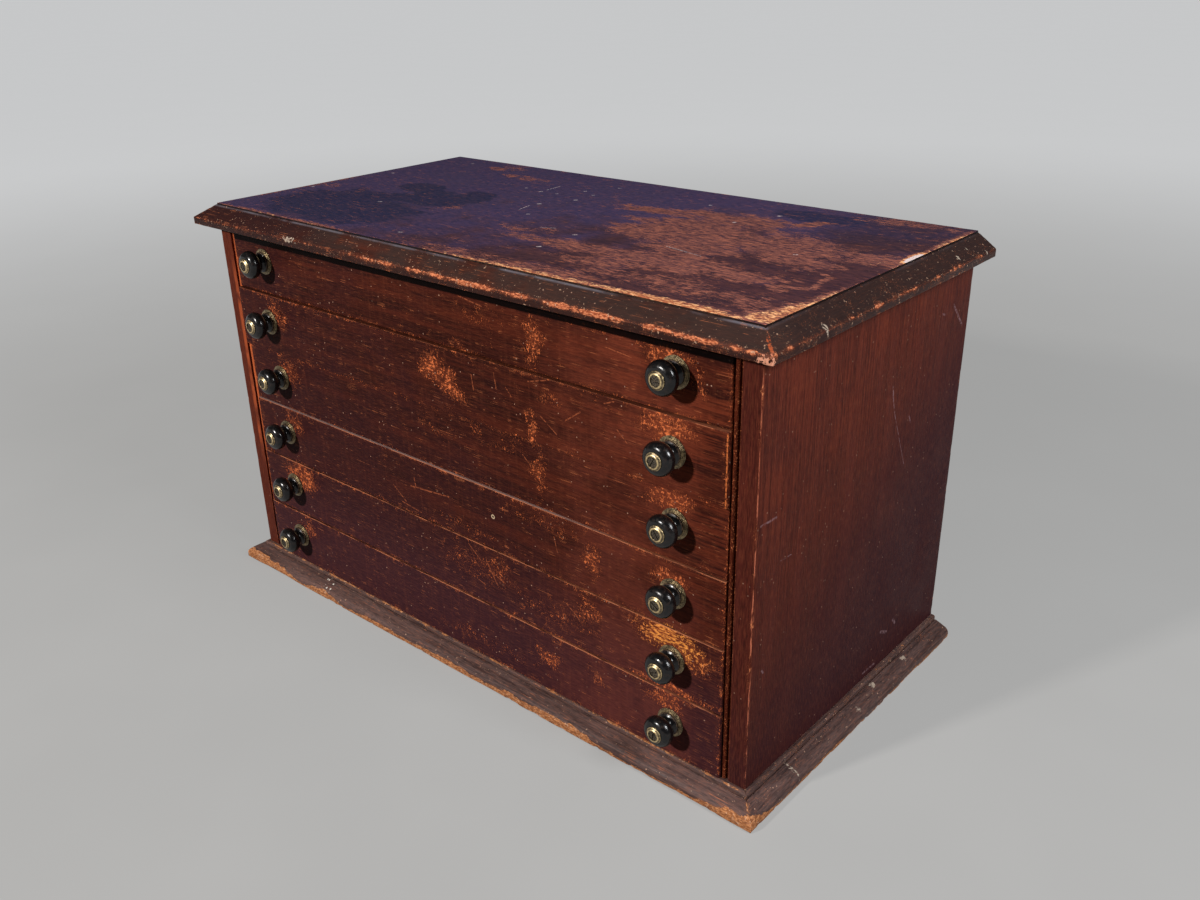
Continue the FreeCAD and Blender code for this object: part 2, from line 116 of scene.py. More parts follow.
def outline(corners):
    """Points, outward directions and wear round a closed outline, counter-clockwise. A corner
    is (across, up, radius, step, wear): the step divides the straight run after it. Wear falls
    off with the distance d from a sharp corner as its wear times exp(-d / reach)."""
    corners = np.array(corners, float)
    spots, radius, wear = corners[:, :2], corners[:, 2], corners[:, 4]
    ahead = np.roll(spots, -1, axis=0) - spots
    length = np.hypot(*ahead.T)
    ahead /= length[:, None]
    behind = np.roll(ahead, 1, axis=0)
    turn = np.arctan2(behind[:, 0] * ahead[:, 1] - behind[:, 1] * ahead[:, 0],
                      np.sum(behind * ahead, axis=1))
    cut = radius * np.tan(np.abs(turn) / 2)
    points, outward = [], []
    for i, step in enumerate(corners[:, 3]):
        share = np.linspace(0, 1, 5) if radius[i] else np.array([0.5])
        angles = np.arctan2(-behind[i, 0], behind[i, 1]) + turn[i] * share
        facing = np.stack([np.cos(angles), np.sin(angles)], axis=-1)
        bend = radius[i] * (np.sign(turn[i]) or 1.0)
        first = np.array([behind[i, 1], -behind[i, 0]])
        points.append(spots[i] - behind[i] * cut[i] - first * bend + facing * bend)
        outward.append(facing)
        run = length[i] - cut[i] - cut[(i + 1) % len(cut)]
        count = max(1, int(round(run / step)))
        along = np.linspace(0, 1, count + 1)[1:-1, None] * run + cut[i]
        points.append(spots[i] + ahead[i] * along)
        outward.append(np.tile([ahead[i, 1], -ahead[i, 0]], (len(along), 1)))
    points = np.concatenate(points)
    distance = np.hypot(*(points[:, None] - spots[None]).transpose(2, 0, 1))
    return (points, np.concatenate(outward),
            np.max(wear * np.exp(-distance / REACH_OF_WEAR), axis=1))


def arc(centre, radii, start, end, count, step, wear=0.0):
    """Corners along an arc: the centre plus the two radii times the cosine and the sine of an
    angle in degrees, which runs from start to end."""
    angles = np.radians(np.linspace(start, end, count))
    wide, high = np.broadcast_to(radii, 2)
    return [(centre[0] + wide * c, centre[1] + high * s, 0, step, wear)
            for c, s in zip(np.cos(angles), np.sin(angles))]


print("a round outline has", len(outline(arc((0, 0), 5, 0, 350, 36, 1))[0]), "points")

# %% [markdown]
# A grid of points becomes a mesh by joining neighbours. Its rows are closed rings, as of a tube,
# and the first and last ring get a flat face. The volume says whether the faces point outwards.
# %% From a grid of points to a mesh
def skin(grid, ring_closed, first):
    """The faces that join a grid's points, numbered from first, and the volume that they
    enclose: a sixth of the sum of a . (b x c) over the triangles. The faces are turned round
    where that is negative."""
    index = np.arange(grid.shape[0] * grid.shape[1]).reshape(grid.shape[:2])
    upper = index if ring_closed else index[:-1]
    lower = np.roll(index, -1, axis=0) if ring_closed else index[1:]
    quads = np.stack([upper, np.roll(upper, -1, axis=1), np.roll(lower, -1, axis=1), lower],
                     axis=-1).reshape(-1, 4)
    a, b, c, d = (grid.reshape(-1, 3)[quads[:, k]] for k in range(4))
    volume = np.sum(a * np.cross(b, c)) + np.sum(a * np.cross(c, d))
    faces = (quads + first).tolist()
    if not ring_closed:
        for ring, sign in ((grid[0], -1), (grid[-1], 1)):
            following = np.roll(ring, -1, axis=0)
            volume += sign * np.sum(ring.mean(axis=0) * np.cross(ring, following))
        faces += [(index[0][::-1] + first).tolist(), (index[-1] + first).tolist()]
    if volume < 0:
        faces = [face[::-1] for face in faces]
    return faces, abs(volume) / 6


def solid(name, grids, *nodes, slot="dark_case_wood", body="case", ring_closed=False):
    """A piece in place of those nodes, of one or more closed grids: each has its points in
    millimetres, an array (rings, points, 3), and the share of varnish lost at each."""
    faces, volume, first = [], 0.0, 0
    for grid, _ in grids:
        more, inside = skin(grid, ring_closed, first)
        faces += more
        volume += inside
        first += grid.shape[0] * grid.shape[1]
    points = np.concatenate([grid.reshape(-1, 3) for grid, _ in grids])
    mesh = bpy.data.meshes.new(name)
    mesh.from_pydata((points * MM).tolist(), [], faces)
    mesh.shade_smooth()
    mesh.set_sharp_from_angle(angle=np.radians(50))
    bare = np.concatenate([bare.ravel() for _, bare in grids])
    mesh.attributes.new("bare", "FLOAT", "POINT").data.foreach_set("value", bare.astype("f4"))
    mesh.update()
    piece = bpy.data.objects.new(name, mesh)
    scene.collection.objects.link(piece)
    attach(piece, body)
    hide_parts(*nodes)
    print(name, first, "points", round(volume / 1000, 1), "cm3")


# %% [markdown]
# Wood is chipped where two faces meet. Wear moves points inwards: a little everywhere, and more
# in bites, where slow and quick noise add up. It also takes the varnish, so chips come out bare.
# %% A worn run of an outline
def worn(place, closeness, depth, seed):
    """How deep wear goes in, in millimetres, and how bare it leaves the wood. The depth is the
    squared closeness to a worn corner times a sum of slow swells, 60 mm long, and bites: soft
    steps of noise in cells of 14 and 4.5 mm, roughened by quick noise."""
    rough = 0.7 * noise(place, 14.0, seed) + 0.55 * noise(place, 4.5, seed + 1)
    bite = soft(0.05, 0.75, rough)
    fret = 0.5 + 0.5 * noise(place, 1.8, seed + 2)
    swell = soft(-0.3, 0.7, noise(place, 60.0, seed + 3))
    inward = closeness ** 2 * depth * (0.12 + swell * 0.6 + bite * (0.5 + 0.4 * fret))
    return inward, closeness * (0.5 + 0.75 * bite)


def carried(corners, origin, across, up, along, length, step, depth=0.7, mitre=(0, 0),
            easing=0.5, end_wear=(0.3, 0.3), seed=0, extra=None):
    """An outline carried along a straight run: point = origin + u * across + v * up + s * along,
    where s runs from -u * mitre at the near end to length + u * mitre at the far end. The
    easing rounds the ends off, and extra(points) gives more bareness."""
    points, outward, closeness = outline(corners)
    angle = np.radians([0, 30, 60, 90])
    rise, inset = easing * (1 - np.cos(angle)), easing * (1 - np.sin(angle))
    count = max(2, int(round((length - 2 * easing) / step)))
    middle = np.linspace(easing, length - easing, count + 1)[1:-1]
    share = np.concatenate([rise, middle, (length - rise)[::-1]]) / length
    inset = np.concatenate([inset, np.zeros(len(middle)), inset[::-1]])[:, None, None]
    near = -points[:, 0] * mitre[0]
    far = length + points[:, 0] * mitre[1]
    section = points[None] - outward[None] * inset
    run = near + (far - near) * share[:, None]
    place = (np.array(origin, float) + section[..., :1] * across + section[..., 1:] * up
             + run[..., None] * along)
    facing = outward[:, :1] * across + outward[:, 1:] * up
    ends = np.maximum(end_wear[0] * np.exp(-(run - near) / REACH_OF_WEAR),
                      end_wear[1] * np.exp(-(far - run) / REACH_OF_WEAR))
    inward, bare = worn(place, np.maximum(closeness, ends), depth, seed)
    if extra:
        bare = bare + extra(place)
    return place - facing[None] * inward[..., None], np.clip(bare, 0, 1.5)


print("pieces are carried along X, Y or Z")

# %% [markdown]
# The sides are boards on edge. Their front edges show as flat stiles, rubbed at the outer
# corner. A shallow rebate at the back takes the thin back panel.
# %% The two case sides
THICK, REBATE_WIDE, BACK_THICK = 17.0, 8.0, 8.0
side_corners = [
    (0, 0, 0.3, 1.2, 0.25), (THICK, 0, 0.7, 2.2, 0.85), (THICK, DEEP, 0.9, 1.5, 0.9),
    (REBATE_WIDE, DEEP, 0.4, 4, 0.5), (REBATE_WIDE, DEEP - BACK_THICK, 0, 8, 0),
    (0, DEEP - BACK_THICK, 0, 40, 0)]
for hand, name in ((1, "right"), (-1, "left")):
    side = carried(side_corners, (hand * (HALF - THICK), FRONT, FLOOR), hand * X, Y, Z, HIGH,
                   1.6, 0.8, easing=0.2, end_wear=(0.15, 0.1), seed=20 + hand)
    solid(f"worn_side_{name}", [side], f"case_side_{name}")

# %% [markdown]
# A strip inside each stile closes the gap beside the drawers. Its face is half a round bead,
# then a quirk, the narrow groove that shows as a black line.
# %% The bead strips
STRIP_WIDE, STRIP_DEEP, BEAD_RADIUS, QUIRK_DEEP = 7.0, 16.0, 2.1, 3.0
strip_corners = arc((BEAD_RADIUS, BEAD_RADIUS + 0.1), BEAD_RADIUS, 180, 360, 9, 1, 0.22) + [
    (2 * BEAD_RADIUS, QUIRK_DEEP, 0, 0.8, 0), (STRIP_WIDE, QUIRK_DEEP, 0, 4, 0),
    (STRIP_WIDE, STRIP_DEEP, 0, 4, 0), (0, STRIP_DEEP, 0.2, 4, 0)]
strips = [carried(strip_corners, (hand * (HALF - THICK - STRIP_WIDE), FRONT, FLOOR), hand * X, Y,
                  Z, HIGH, 2.0, 0.5, easing=0.1, end_wear=(0, 0), seed=30 + hand)
          for hand in (1, -1)]
solid("worn_bead_strips", strips, "bead_strips", slot="red_brown_wood")

# %% [markdown]
# The top is a flat board with bright rubbed rims, and its varnish has gone in ragged patches
# towards the right. A painted image could hold them, but soft ovals are easier to move, and the
# finish breaks them up later.
# %% The flat field of the top
TOP_HIGH, RIM = 21.4, 0.6
FIELD_MARKS = [  # centre x, distance behind the front edge, half-widths, strength
    (62, 241, 60, 15, 0.66), (150, 245, 72, 38, 0.85), (205, 282, 12, 20, 0.6),
    (140, 212, 80, 36, 0.9), (84, 176, 34, 16, 0.7), (140, 172, 76, 42, 0.95),
    (232, 188, 64, 46, 0.85), (266, 160, 34, 20, 0.76), (170, 132, 66, 34, 0.76),
    (120, 86, 110, 20, 0.68), (190, 96, 84, 32, 0.8), (150, 58, 50, 20, 0.6),
    (312, 195, 30, 28, 0.62), (303, 92, 14, 30, 0.58), (300, 140, 12, 44, 0.5),
    (240, 36, 110, 26, 0.52), (80, 14, 170, 12, 0.46), (285, 330, 50, 12, 0.46),
    (-215, 318, 24, 18, 0.4), (-165, 285, 22, 14, 0.38), (-118, 130, 22, 14, 0.4),
    (6, 110, 46, 12, 0.46), (338, 60, 7, 60, 0.66), (338, 280, 6, 60, 0.6),
    (328, 12, 20, 14, 0.95), (146, 3, 190, 7, 0.8), (255, 4, 90, 9, 0.98), (334, 34, 10, 40, 0.9),
    (-230, 2, 130, 5, 0.4), (338, 222, 6, 26, 1.5), (-337, 100, 5, 90, 0.4)]


def field_wear(place):
    """The bareness of the top field's marks, only on its upper face. Away from the rims the
    marks are bent by slow and quick noise, so that their outlines are ragged."""
    upper = place[..., 2] > CEILING + TOP_HIGH - 1.5
    x, depth = place[..., 0], place[..., 1] - FRONT
    bend = soft(4, 30, np.minimum(depth, HALF - np.abs(x)))
    x = x + bend * (34 * noise(place * (0.3, 1, 1), 15.0, 91) + 8 * noise(place, 12.0, 92))
    depth = depth + bend * (9 * noise(place, 26.0, 93) + 4 * noise(place, 8.0, 94))
    return blots(x, depth, FIELD_MARKS, 0.35, 1.3) * upper


field_corners = [(0, 0, 0, 80, 0), (DEEP, 0, 0, 8, 0.2), (DEEP, TOP_HIGH, RIM, 1.9, 0.6),
                 (0, TOP_HIGH, RIM, 4, 0.5)]
field = carried(field_corners, (-HALF, FRONT, CEILING), Y, Z, X, 2 * HALF, 1.9, easing=RIM,
                end_wear=(0.4, 0.6), seed=40, extra=field_wear)
solid("worn_top_field", [field], "top_board")

# %% [markdown]
# Round the front and both ends of the top runs a moulding: an upright edge, then a bevel up to
# the field. Its corners are mitred, so each run's length grows with the distance outwards.
# %% The bevelled moulding of the top
OUT, EDGE, BEVEL_TOP, LEDGE = 18.5, 7.6, 19.7, 0.9
bevel_corners = [(0, 0, 0, 3, 0), (OUT, 0, 0.8, 0.8, 0.85), (OUT, EDGE, 1.0, 1.1, 1.08),
                 (LEDGE, BEVEL_TOP, 0.4, 1, 0.25), (0, BEVEL_TOP, 0, 6, 0)]


def three_sides(name, corners, base, step, depth, seed, corner_wear, extra):
    """The same outline along the front, mitred at both ends, and along both ends, mitred in
    front and square at the back."""
    front = carried(corners, (-HALF, FRONT, base), -Y, Z, X, 2 * HALF, step, depth, (1, 1), 0.15,
                    corner_wear, seed, extra)
    solid(f"worn_{name}_front", [front], f"{name}_front")
    ends = [carried(corners, (hand * HALF, FRONT, base), hand * X, Z, Y, DEEP, step, depth, (1, 0),
                    0.15, (corner_wear[1], 0.8), seed + 3 + hand, extra) for hand in (1, -1)]
    solid(f"worn_{name}_ends", ends, f"{name}_ends")


def knocked(place):
    """More bareness along the front's outer arris, right of the middle."""
    x, y, z = np.moveaxis(place, -1, 0)
    band = soft(3.4, 1.0, np.abs(z - CEILING - EDGE + 1)) * soft(-160, 40, x) * (FRONT - y > 12)
    return band * np.maximum(0.45 + 0.45 * noise(place * (0.4, 1, 1), 8.0, 11), 0)


three_sides("top_moulding", bevel_corners, CEILING, 1.25, 1.0, 50, (0.8, 0.95), knocked)

# %% [markdown]
# The base is framed in the same way. Its outline is a small bead, a dark quirk, a long slope and
# a rounded nose. Its outer edge is bare and its corners are broken.
# %% The base board and its moulding
BASE_OUT, BASE_HIGH, BEAD_FLAT, BEAD_ROUND = 20.5, 20.4, 2.0, 2.6
NOSE_CENTRE, NOSE_RADIUS = (12.33, 4.41), 8.18
base_corners = [(0, 0, 0, 3, 0), (BASE_OUT, 0, 0.5, 0.9, 1.15),
                *arc(NOSE_CENTRE, NOSE_RADIUS, -2.9, 74.6, 9, 1.2, 0.1),
                (5.5, 16.2, 0.3, 0.5, 0.15), (4.6, 15.4, 0, 0.6, 0),
                *arc((BEAD_FLAT, BASE_HIGH - BEAD_ROUND), BEAD_ROUND, 0, 90, 6, 0.8, 0.4),
                (0, BASE_HIGH, 0, 6, 0)]


def scraped(place):
    """More bareness up to a wavering height above the floor: it rises towards the front corners,
    by exp(-d / 10) of the distance d from them, and along the left end of the front."""
    x, y, z = np.moveaxis(place, -1, 0)
    outwards = np.maximum(np.abs(x) - HALF, FRONT - y)
    corner = np.hypot(HALF + BASE_OUT - np.abs(x), y - FRONT + BASE_OUT)
    height = 5.6 + 3.8 * noise(place * (1, 1, 0), 42.0, 7) + 9 * np.exp(-corner / 10)
    height += 1.6 * noise(place * (1, 1, 0), 7.0, 8)
    height += 7 * soft(-250, -350, x) * soft(12, 17, FRONT - y) - 3 * soft(0, 30, x - HALF)
    height += 3.5 * noise(place, 4.5, 10) * soft(40, 10, corner)
    bead = soft(19.0, 19.8, z) * soft(1.5, 2.5, outwards) * (0.45 + 0.5 * noise(place, 9.0, 9))
    bead = bead * np.where(y > FRONT, 0.4, 1.0)
    return 1.3 * (1 - soft(-0.8, 0.8, z - height)) * soft(9, 12, outwards) + bead


three_sides("base_moulding", base_corners, 0.0, 1.3, 1.9, 60, (0.9, 1.0), scraped)
board_corners = [(0, 0, 0, 80, 0), (DEEP, 0, 0.8, 5, 0.6), (DEEP, BASE_HIGH, 0.3, 6, 0.2),
                 (0, BASE_HIGH, 0.4, 5, 0.8)]
board = carried(board_corners, (-HALF, FRONT, 0), Y, Z, X, 2 * HALF, 4.0, 0.5, easing=0.2,
                end_wear=(0, 0), seed=70)
solid("worn_base_board", [board], "base_board")

# %% [markdown]
# A drawer front is a board with a lap at each end for the drawer side. It is worn round the
# knobs, and flaked in patches that the photograph places on each drawer.
# %% The six drawer fronts
LAP, SIDE_THICK, FRONT_THICK = 8.0, 10.0, 17.0
DRAWER_MARKS = {  # centre x, height, half-widths, strength
    1: [(117, 364, 11, 27, 0.62), (256, 383, 27, 11, 0.95), (284, 366, 16, 16, 0.28),
        (52, 374, 38, 15, 0.2), (30, 341, 12, 6, 0.5), (180, 392, 60, 6, 0.3)],
    2: [(-4, 314, 25, 17, 0.86), (16, 301, 16, 15, 0.84), (256, 325, 28, 12, 0.92),
        (-251, 318, 24, 15, 0.52), (118, 290, 12, 17, 0.58), (140, 320, 26, 10, 0.32)],
    3: [(258, 262, 25, 12, 0.84), (-250, 252, 22, 18, 0.56), (119, 245, 10, 30, 0.52),
        (-10, 255, 40, 18, 0.16), (60, 262, 70, 12, 0.18)],
    4: [(261, 194, 22, 10, 0.82), (-251, 196, 20, 13, 0.52), (176, 180, 13, 18, 0.6),
        (120, 198, 60, 12, 0.26), (20, 160, 60, 8, 0.26)],
    5: [(258, 137, 38, 14, 1.12), (286, 127, 20, 16, 0.8), (-250, 131, 32, 18, 0.86),
        (172, 129, 15, 16, 0.56), (25, 120, 55, 22, 0.26), (130, 108, 70, 20, 0.24),
        (60, 128, 18, 14, 0.46), (270, 88, 50, 4, 0.7)],
    6: [(121, 57, 16, 13, 0.62), (177, 62, 9, 9, 0.42), (259, 74, 24, 13, 0.62),
        (-253, 64, 18, 14, 0.5), (40, 40, 80, 10, 0.22)],
}
for n in DRAWERS:
    (_, face, bottom), (half, _, upper) = corners_of(f"drawer_{n}_front")
    inner = half - SIDE_THICK
    front_corners = [
        (-half, 0, 0.6, 1.25, 0.8), (half, 0, 0.6, 4, 0.9), (half, LAP, 0.2, 5, 0.2),
        (inner, LAP, 0, 5, 0), (inner, FRONT_THICK, 0.2, 60, 0.1),
        (-inner, FRONT_THICK, 0.2, 5, 0.1), (-inner, LAP, 0, 5, 0), (-half, LAP, 0.2, 4, 0.2)]

    def marks(place, n=n, face=face):
        """The bareness of this drawer's marks, only on its face, their outlines bent by noise."""
        x = place[..., 0] + 9 * noise(place * (0.5, 1, 1), 9.0, 95)
        z = place[..., 2] + 4 * noise(place, 11.0, 96)
        return blots(x, z, DRAWER_MARKS[n]) * (place[..., 1] < face + 1.0)

    front = carried(front_corners, (0, face, bottom), X, Y, Z, upper - bottom, 1.25, 0.55,
                    end_wear=(0.55, 0.68), seed=80 + 5 * n, extra=marks)
    solid(f"worn_front_{n}", [front], f"drawer_{n}_front", slot="red_brown_wood",
          body=f"drawer_{n}")

# %% [markdown]
# The knobs are turned, so each is an outline carried round an axis. A knob has a flared foot, a
# hollow waist and a head like a flattened ball. It sits on a stepped brass plate, and a brass
# boss on its head holds the slotted screw.
# %% Turned pieces
def turned(corners, centre, segments):
    """An outline of radius and reach, carried round the knob's axis: a point at radius r and
    reach a turns to centre + r cos t along X, - a along Y and + r sin t along Z."""
    points, _, closeness = outline(corners)
    angle = np.linspace(0, 2 * np.pi, segments, endpoint=False)[:, None]
    across, reach = points[:, 0], points[:, 1]
    grid = np.stack([centre[0] + across * np.cos(angle), centre[1] - reach + 0 * angle,
                     centre[2] + across * np.sin(angle)], axis=-1)
    return grid, np.broadcast_to(closeness, grid.shape[:2])


BORE, FOOT, FOOT_LOW, FOOT_HIGH, WAIST, WAIST_AT = 2.2, 10.4, 2.7, 4.0, 7.2, 8.2
HEAD_CENTRE, HEAD_RADII, HEAD_TOP = (8.1, 16.5), (6.1, 6.3), 22.8
foot_reach = np.linspace(FOOT_HIGH, WAIST_AT, 8)[1:]
foot_curve = WAIST + (FOOT - WAIST) * ((WAIST_AT - foot_reach) / (WAIST_AT - FOOT_HIGH)) ** 2.2
knob_corners = [(BORE, FOOT_LOW, 0, 4, 0), (FOOT, FOOT_LOW, 0.3, 1, 0.3),
                (FOOT, FOOT_HIGH, 0.4, 0.6, 0.5),
                *((radius, reach, 0, 0.5, 0) for radius, reach in zip(foot_curve, foot_reach)),
                *arc(HEAD_CENTRE, HEAD_RADII, -90, 90, 25, 0.8, 0.12), (BORE, HEAD_TOP, 0, 6, 0)]
PLATE_STEPS = [(13.3, 1.1), (12.3, 1.45), (11.7, 2.0), (11.0, FOOT_LOW)]
plate_corners = [(BORE, 0, 0, 6, 0), (PLATE_STEPS[0][0], 0, 0, 0.6, 0)]
level = 0.0
for radius, reach in PLATE_STEPS:
    if level:
        plate_corners.append((radius, level, 0.05, 0.4, 0))
    plate_corners.append((radius, reach, 0.14, 0.5, 0.8))
    level = reach
plate_corners.append((BORE, FOOT_LOW, 0, 6, 0))
BOSS, BOSS_LOW, BOSS_EDGE, RIM_OUT, RIM_IN, RIM_AT = 7.5, 22.8, 23.6, 5.5, 4.4, 25.0
boss_corners = [(RIM_IN, BOSS_LOW, 0, 2, 0), (BOSS, BOSS_LOW, 0.1, 0.5, 0.2),
                (BOSS, BOSS_EDGE, 0.25, 0.5, 0.9), (RIM_OUT, RIM_AT, 0.2, 0.5, 1.0),
                (RIM_IN, RIM_AT, 0.15, 0.7, 0.5)]
SCREW_HEAD, SCREW_TOP, SCREW_UNDER, SLOT_WIDE, SLOT_DEEP = 4.3, 24.4, 22.8, 0.9, 0.8


def screw_head(centre, turn):
    """A slotted disc, as rings across the slot. At each distance x from the middle the ring
    spans the disc's chord, 2 sqrt(R^2 - x^2). Its outer side drops by the slot's depth where
    |x| is under half the slot's width, and its inner side is flat."""
    edge = SLOT_WIDE / 2
    out = SCREW_HEAD * np.sin(np.radians(np.linspace(86, 12, 10)))
    half = np.concatenate([out, [edge + 0.06, edge - 0.02, edge / 2]])
    x = np.concatenate([-half, [0.0], half[::-1]])[:, None]
    share = np.linspace(-1, 1, 9)
    chord = np.sqrt(SCREW_HEAD ** 2 - x ** 2) * np.concatenate([share, share[::-1]])
    top = SCREW_TOP - SLOT_DEEP * (np.abs(x) < edge)
    dome = 0.12 * (1 - (x ** 2 + chord ** 2) / SCREW_HEAD ** 2)
    reach = SCREW_UNDER + (top + dome - SCREW_UNDER) * np.repeat([1.0, 0.0], 9)
    grid = np.stack([centre[0] + x * np.cos(turn) - chord * np.sin(turn), centre[1] - reach,
                     centre[2] + x * np.sin(turn) + chord * np.cos(turn)], axis=-1)
    return grid, np.zeros(grid.shape[:2])


print("a knob's outline has", len(knob_corners), "corners")

# %% Two knobs on each drawer
SCREW_TURNS = {1: (20, 75), 2: (65, 150), 3: (110, 35), 4: (15, 60), 5: (95, 120), 6: (40, 170)}
for n in DRAWERS:
    low, high = corners_of(f"drawer_{n}_knobs")
    face = corners_of(f"drawer_{n}_front")[0][1]
    across = high[0] - (high[2] - low[2]) / 2
    centres = [(hand * across, face, (low[2] + high[2]) / 2) for hand in (-1, 1)]
    drawer, fittings = f"drawer_{n}", f"drawer_{n}_knob_fittings"
    knobs = [turned(knob_corners, centre, 72) for centre in centres]
    solid(f"turned_knobs_{n}", knobs, f"drawer_{n}_knobs", slot="black_wood", body=drawer,
          ring_closed=True)
    brass = [turned(corners, centre, 64) for centre in centres
             for corners in (plate_corners, boss_corners)]
    solid(f"brass_plates_and_bosses_{n}", brass, fittings, slot="aged_brass", body=drawer,
          ring_closed=True)
    screws = [screw_head(centre, np.radians(turn)) for centre, turn in zip(centres, SCREW_TURNS[n])]
    solid(f"slotted_screws_{n}", screws, fittings, slot="aged_brass", body=drawer)

# %% [markdown]
# Finishes are made of shader nodes. Written out one by one they would hide the recipe, so each
# socket is wrapped: plain arithmetic on it adds Math nodes, and others come from one method.
# %% Arithmetic on sockets
class Wire:
    """An output socket. Sums, differences, products and quotients of wires are Math nodes."""

    def __init__(self, paint, socket):
        self.paint, self.socket = paint, socket

    def math(self, operation, *values):
        return self.paint.node("Math", {"operation": operation}, dict(enumerate(values)))

    def most(self, other):
        return self.math("MAXIMUM", self, other)

    def least(self, other):
        return self.math("MINIMUM", self, other)

    def size(self):
        return self.math("ABSOLUTE", self)

    def soft(self, low, high, from_value=0.0, to_value=1.0):
        """The eased ramp between low and high."""
        return self.paint.node("MapRange", {"interpolation_type": "SMOOTHSTEP"},
                               {0: self, 1: low, 2: high, 3: from_value, 4: to_value})


for sign, kind in (("add", "ADD"), ("sub", "SUBTRACT"), ("mul", "MULTIPLY"), ("truediv", "DIVIDE")):
    setattr(Wire, f"__{sign}__", lambda self, other, kind=kind: self.math(kind, self, other))
    setattr(Wire, f"__r{sign}__", lambda self, other, kind=kind: self.math(kind, other, self))


def tone(colour):
    """A colour written as 0 to 255 on screen, in the linear light that shaders use: above a
    small toe it is ((c + 0.055) / 1.055) to the power 2.4."""
    c = np.array(colour) / 255
    linear = np.where(c <= 0.04045, c / 12.92, ((c + 0.055) / 1.055) ** 2.4)
    return (*linear.tolist(), 1.0)


print("mid grey in linear light", round(tone((128, 128, 128))[0], 3))

# %% A material and its nodes
class Paint:
    """One material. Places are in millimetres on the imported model's axes."""

    def __init__(self, name):
        self.material = bpy.data.materials.new(name)
        self.material.use_nodes = True
        self.tree = self.material.node_tree
        self.shader = self.tree.nodes["Principled BSDF"]
        self.place = self.vector("SCALE", self.node("TexCoord", out="Object"), 1 / MM)
        self.bare = self.node("Attribute", {"attribute_name": "bare"}, out="Fac")

    def feed(self, inputs, values):
        """Wires are linked to their sockets, and anything else is set as a value."""
        for name, value in values.items():
            if isinstance(value, Wire):
                self.tree.links.new(value.socket, inputs[name])
            else:
                inputs[name].default_value = value

    def node(self, kind, settings=(), values=(), out=0):
        """A node of that kind: its settings first, then its sockets, by name or number."""
        node = self.tree.nodes.new("ShaderNode" + kind)
        for name, value in dict(settings).items():
            setattr(node, name, value)
        self.feed(node.inputs, dict(values))
        return Wire(self, node.outputs[out])

    def vector(self, operation, *values, out=0):
        sockets = (0, "Scale" if operation == "SCALE" else 1)
        return self.node("VectorMath", {"operation": operation}, zip(sockets, values), out)

    def parts(self, vector=None):
        """The X, Y and Z of a vector, or else of the place."""
        split = self.node("SeparateXYZ", (), {0: vector or self.place}).socket.node
        return [Wire(self, part) for part in split.outputs]

    def normal(self):
        return self.parts(self.node("NewGeometry", out="Normal"))

    def joined(self, *parts):
        return self.node("CombineXYZ", (), enumerate(parts))

    def noise(self, scale, detail=2.0, roughness=0.5, distortion=0.0, place=None, stretch=None):
        """Smooth noise, drawn out along the axes whose stretch is small."""
        place = place or self.place
        if stretch:
            place = self.vector("MULTIPLY", place, stretch)
        return self.node("TexNoise", (), {"Vector": place, "Scale": scale, "Detail": detail,
                                          "Roughness": roughness, "Distortion": distortion})

    def cells(self, place, scale):
        return self.node("TexVoronoi", (), {"Vector": place, "Scale": scale}, "Distance")

    def mix(self, share, first, second):
        """A colour between two colours, each a wire or 0 to 255 on screen."""
        first, second = (c if isinstance(c, Wire) else tone(c) for c in (first, second))
        return self.node("Mix", {"data_type": "RGBA"}, {0: share, 6: first, 7: second}, 2)

    def over(self, colour, *layers):
        """Colours laid over a colour one after another, each with its share."""
        for share, layer in layers:
            colour = self.mix(share, colour, layer)
        return colour

    def ovals(self, *rows):
        """1 at the centre of each oval, fading to 0 at about its three half-widths."""
        masks = []
        for x, y, z, *halves in rows:
            offset = self.vector("SUBTRACT", self.place, (x, y, z))
            reach = self.vector("LENGTH", self.vector("DIVIDE", offset, halves), out="Value")
            masks.append(reach.soft(1.25, 0.3))
        return reduce(Wire.most, masks)

    def scratches(self, flat, strokes, size):
        """1 along thin straight strokes, broken up by noise of that scale. The distance from a
        place p to the segment a b is the length of (p - a) - (b - a) h, where h is
        (p - a) . (b - a) / |b - a|^2, clamped."""
        lines = []
        for start, end, width in strokes:
            run = np.subtract(end, start)
            offset = self.vector("SUBTRACT", flat, start)
            share = self.vector("DOT_PRODUCT", offset, tuple(run / np.dot(run, run)), out="Value")
            nearest = self.vector("SCALE", tuple(run), self.node("Clamp", (), {0: share}))
            away = self.vector("LENGTH", self.vector("SUBTRACT", offset, nearest), out="Value")
            lines.append(away.soft(width, width * 0.35))
        return reduce(Wire.most, lines) * self.noise(size, 3, place=flat).soft(0.37, 0.58)

    def finish(self, colour, roughness, height=None, **others):
        """Feeds the shader. The height is in millimetres and goes through a Bump node."""
        links = {"Base Color": colour, "Roughness": roughness, **others}
        if height is not None:
            links["Normal"] = self.node("Bump", (), {"Height": height, "Distance": MM,
                                                     "Strength": 1.0})
        self.feed(self.shader.inputs, links)
        print("finish", self.material.name, len(self.tree.nodes), "nodes")
        return self.material


def coat(material, *names):
    """Gives the finish to every piece of those names, new or packed."""
    for name in names:
        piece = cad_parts.get(name) or bpy.data.objects[name]
        piece.data.materials.clear()
        piece.data.materials.append(material)


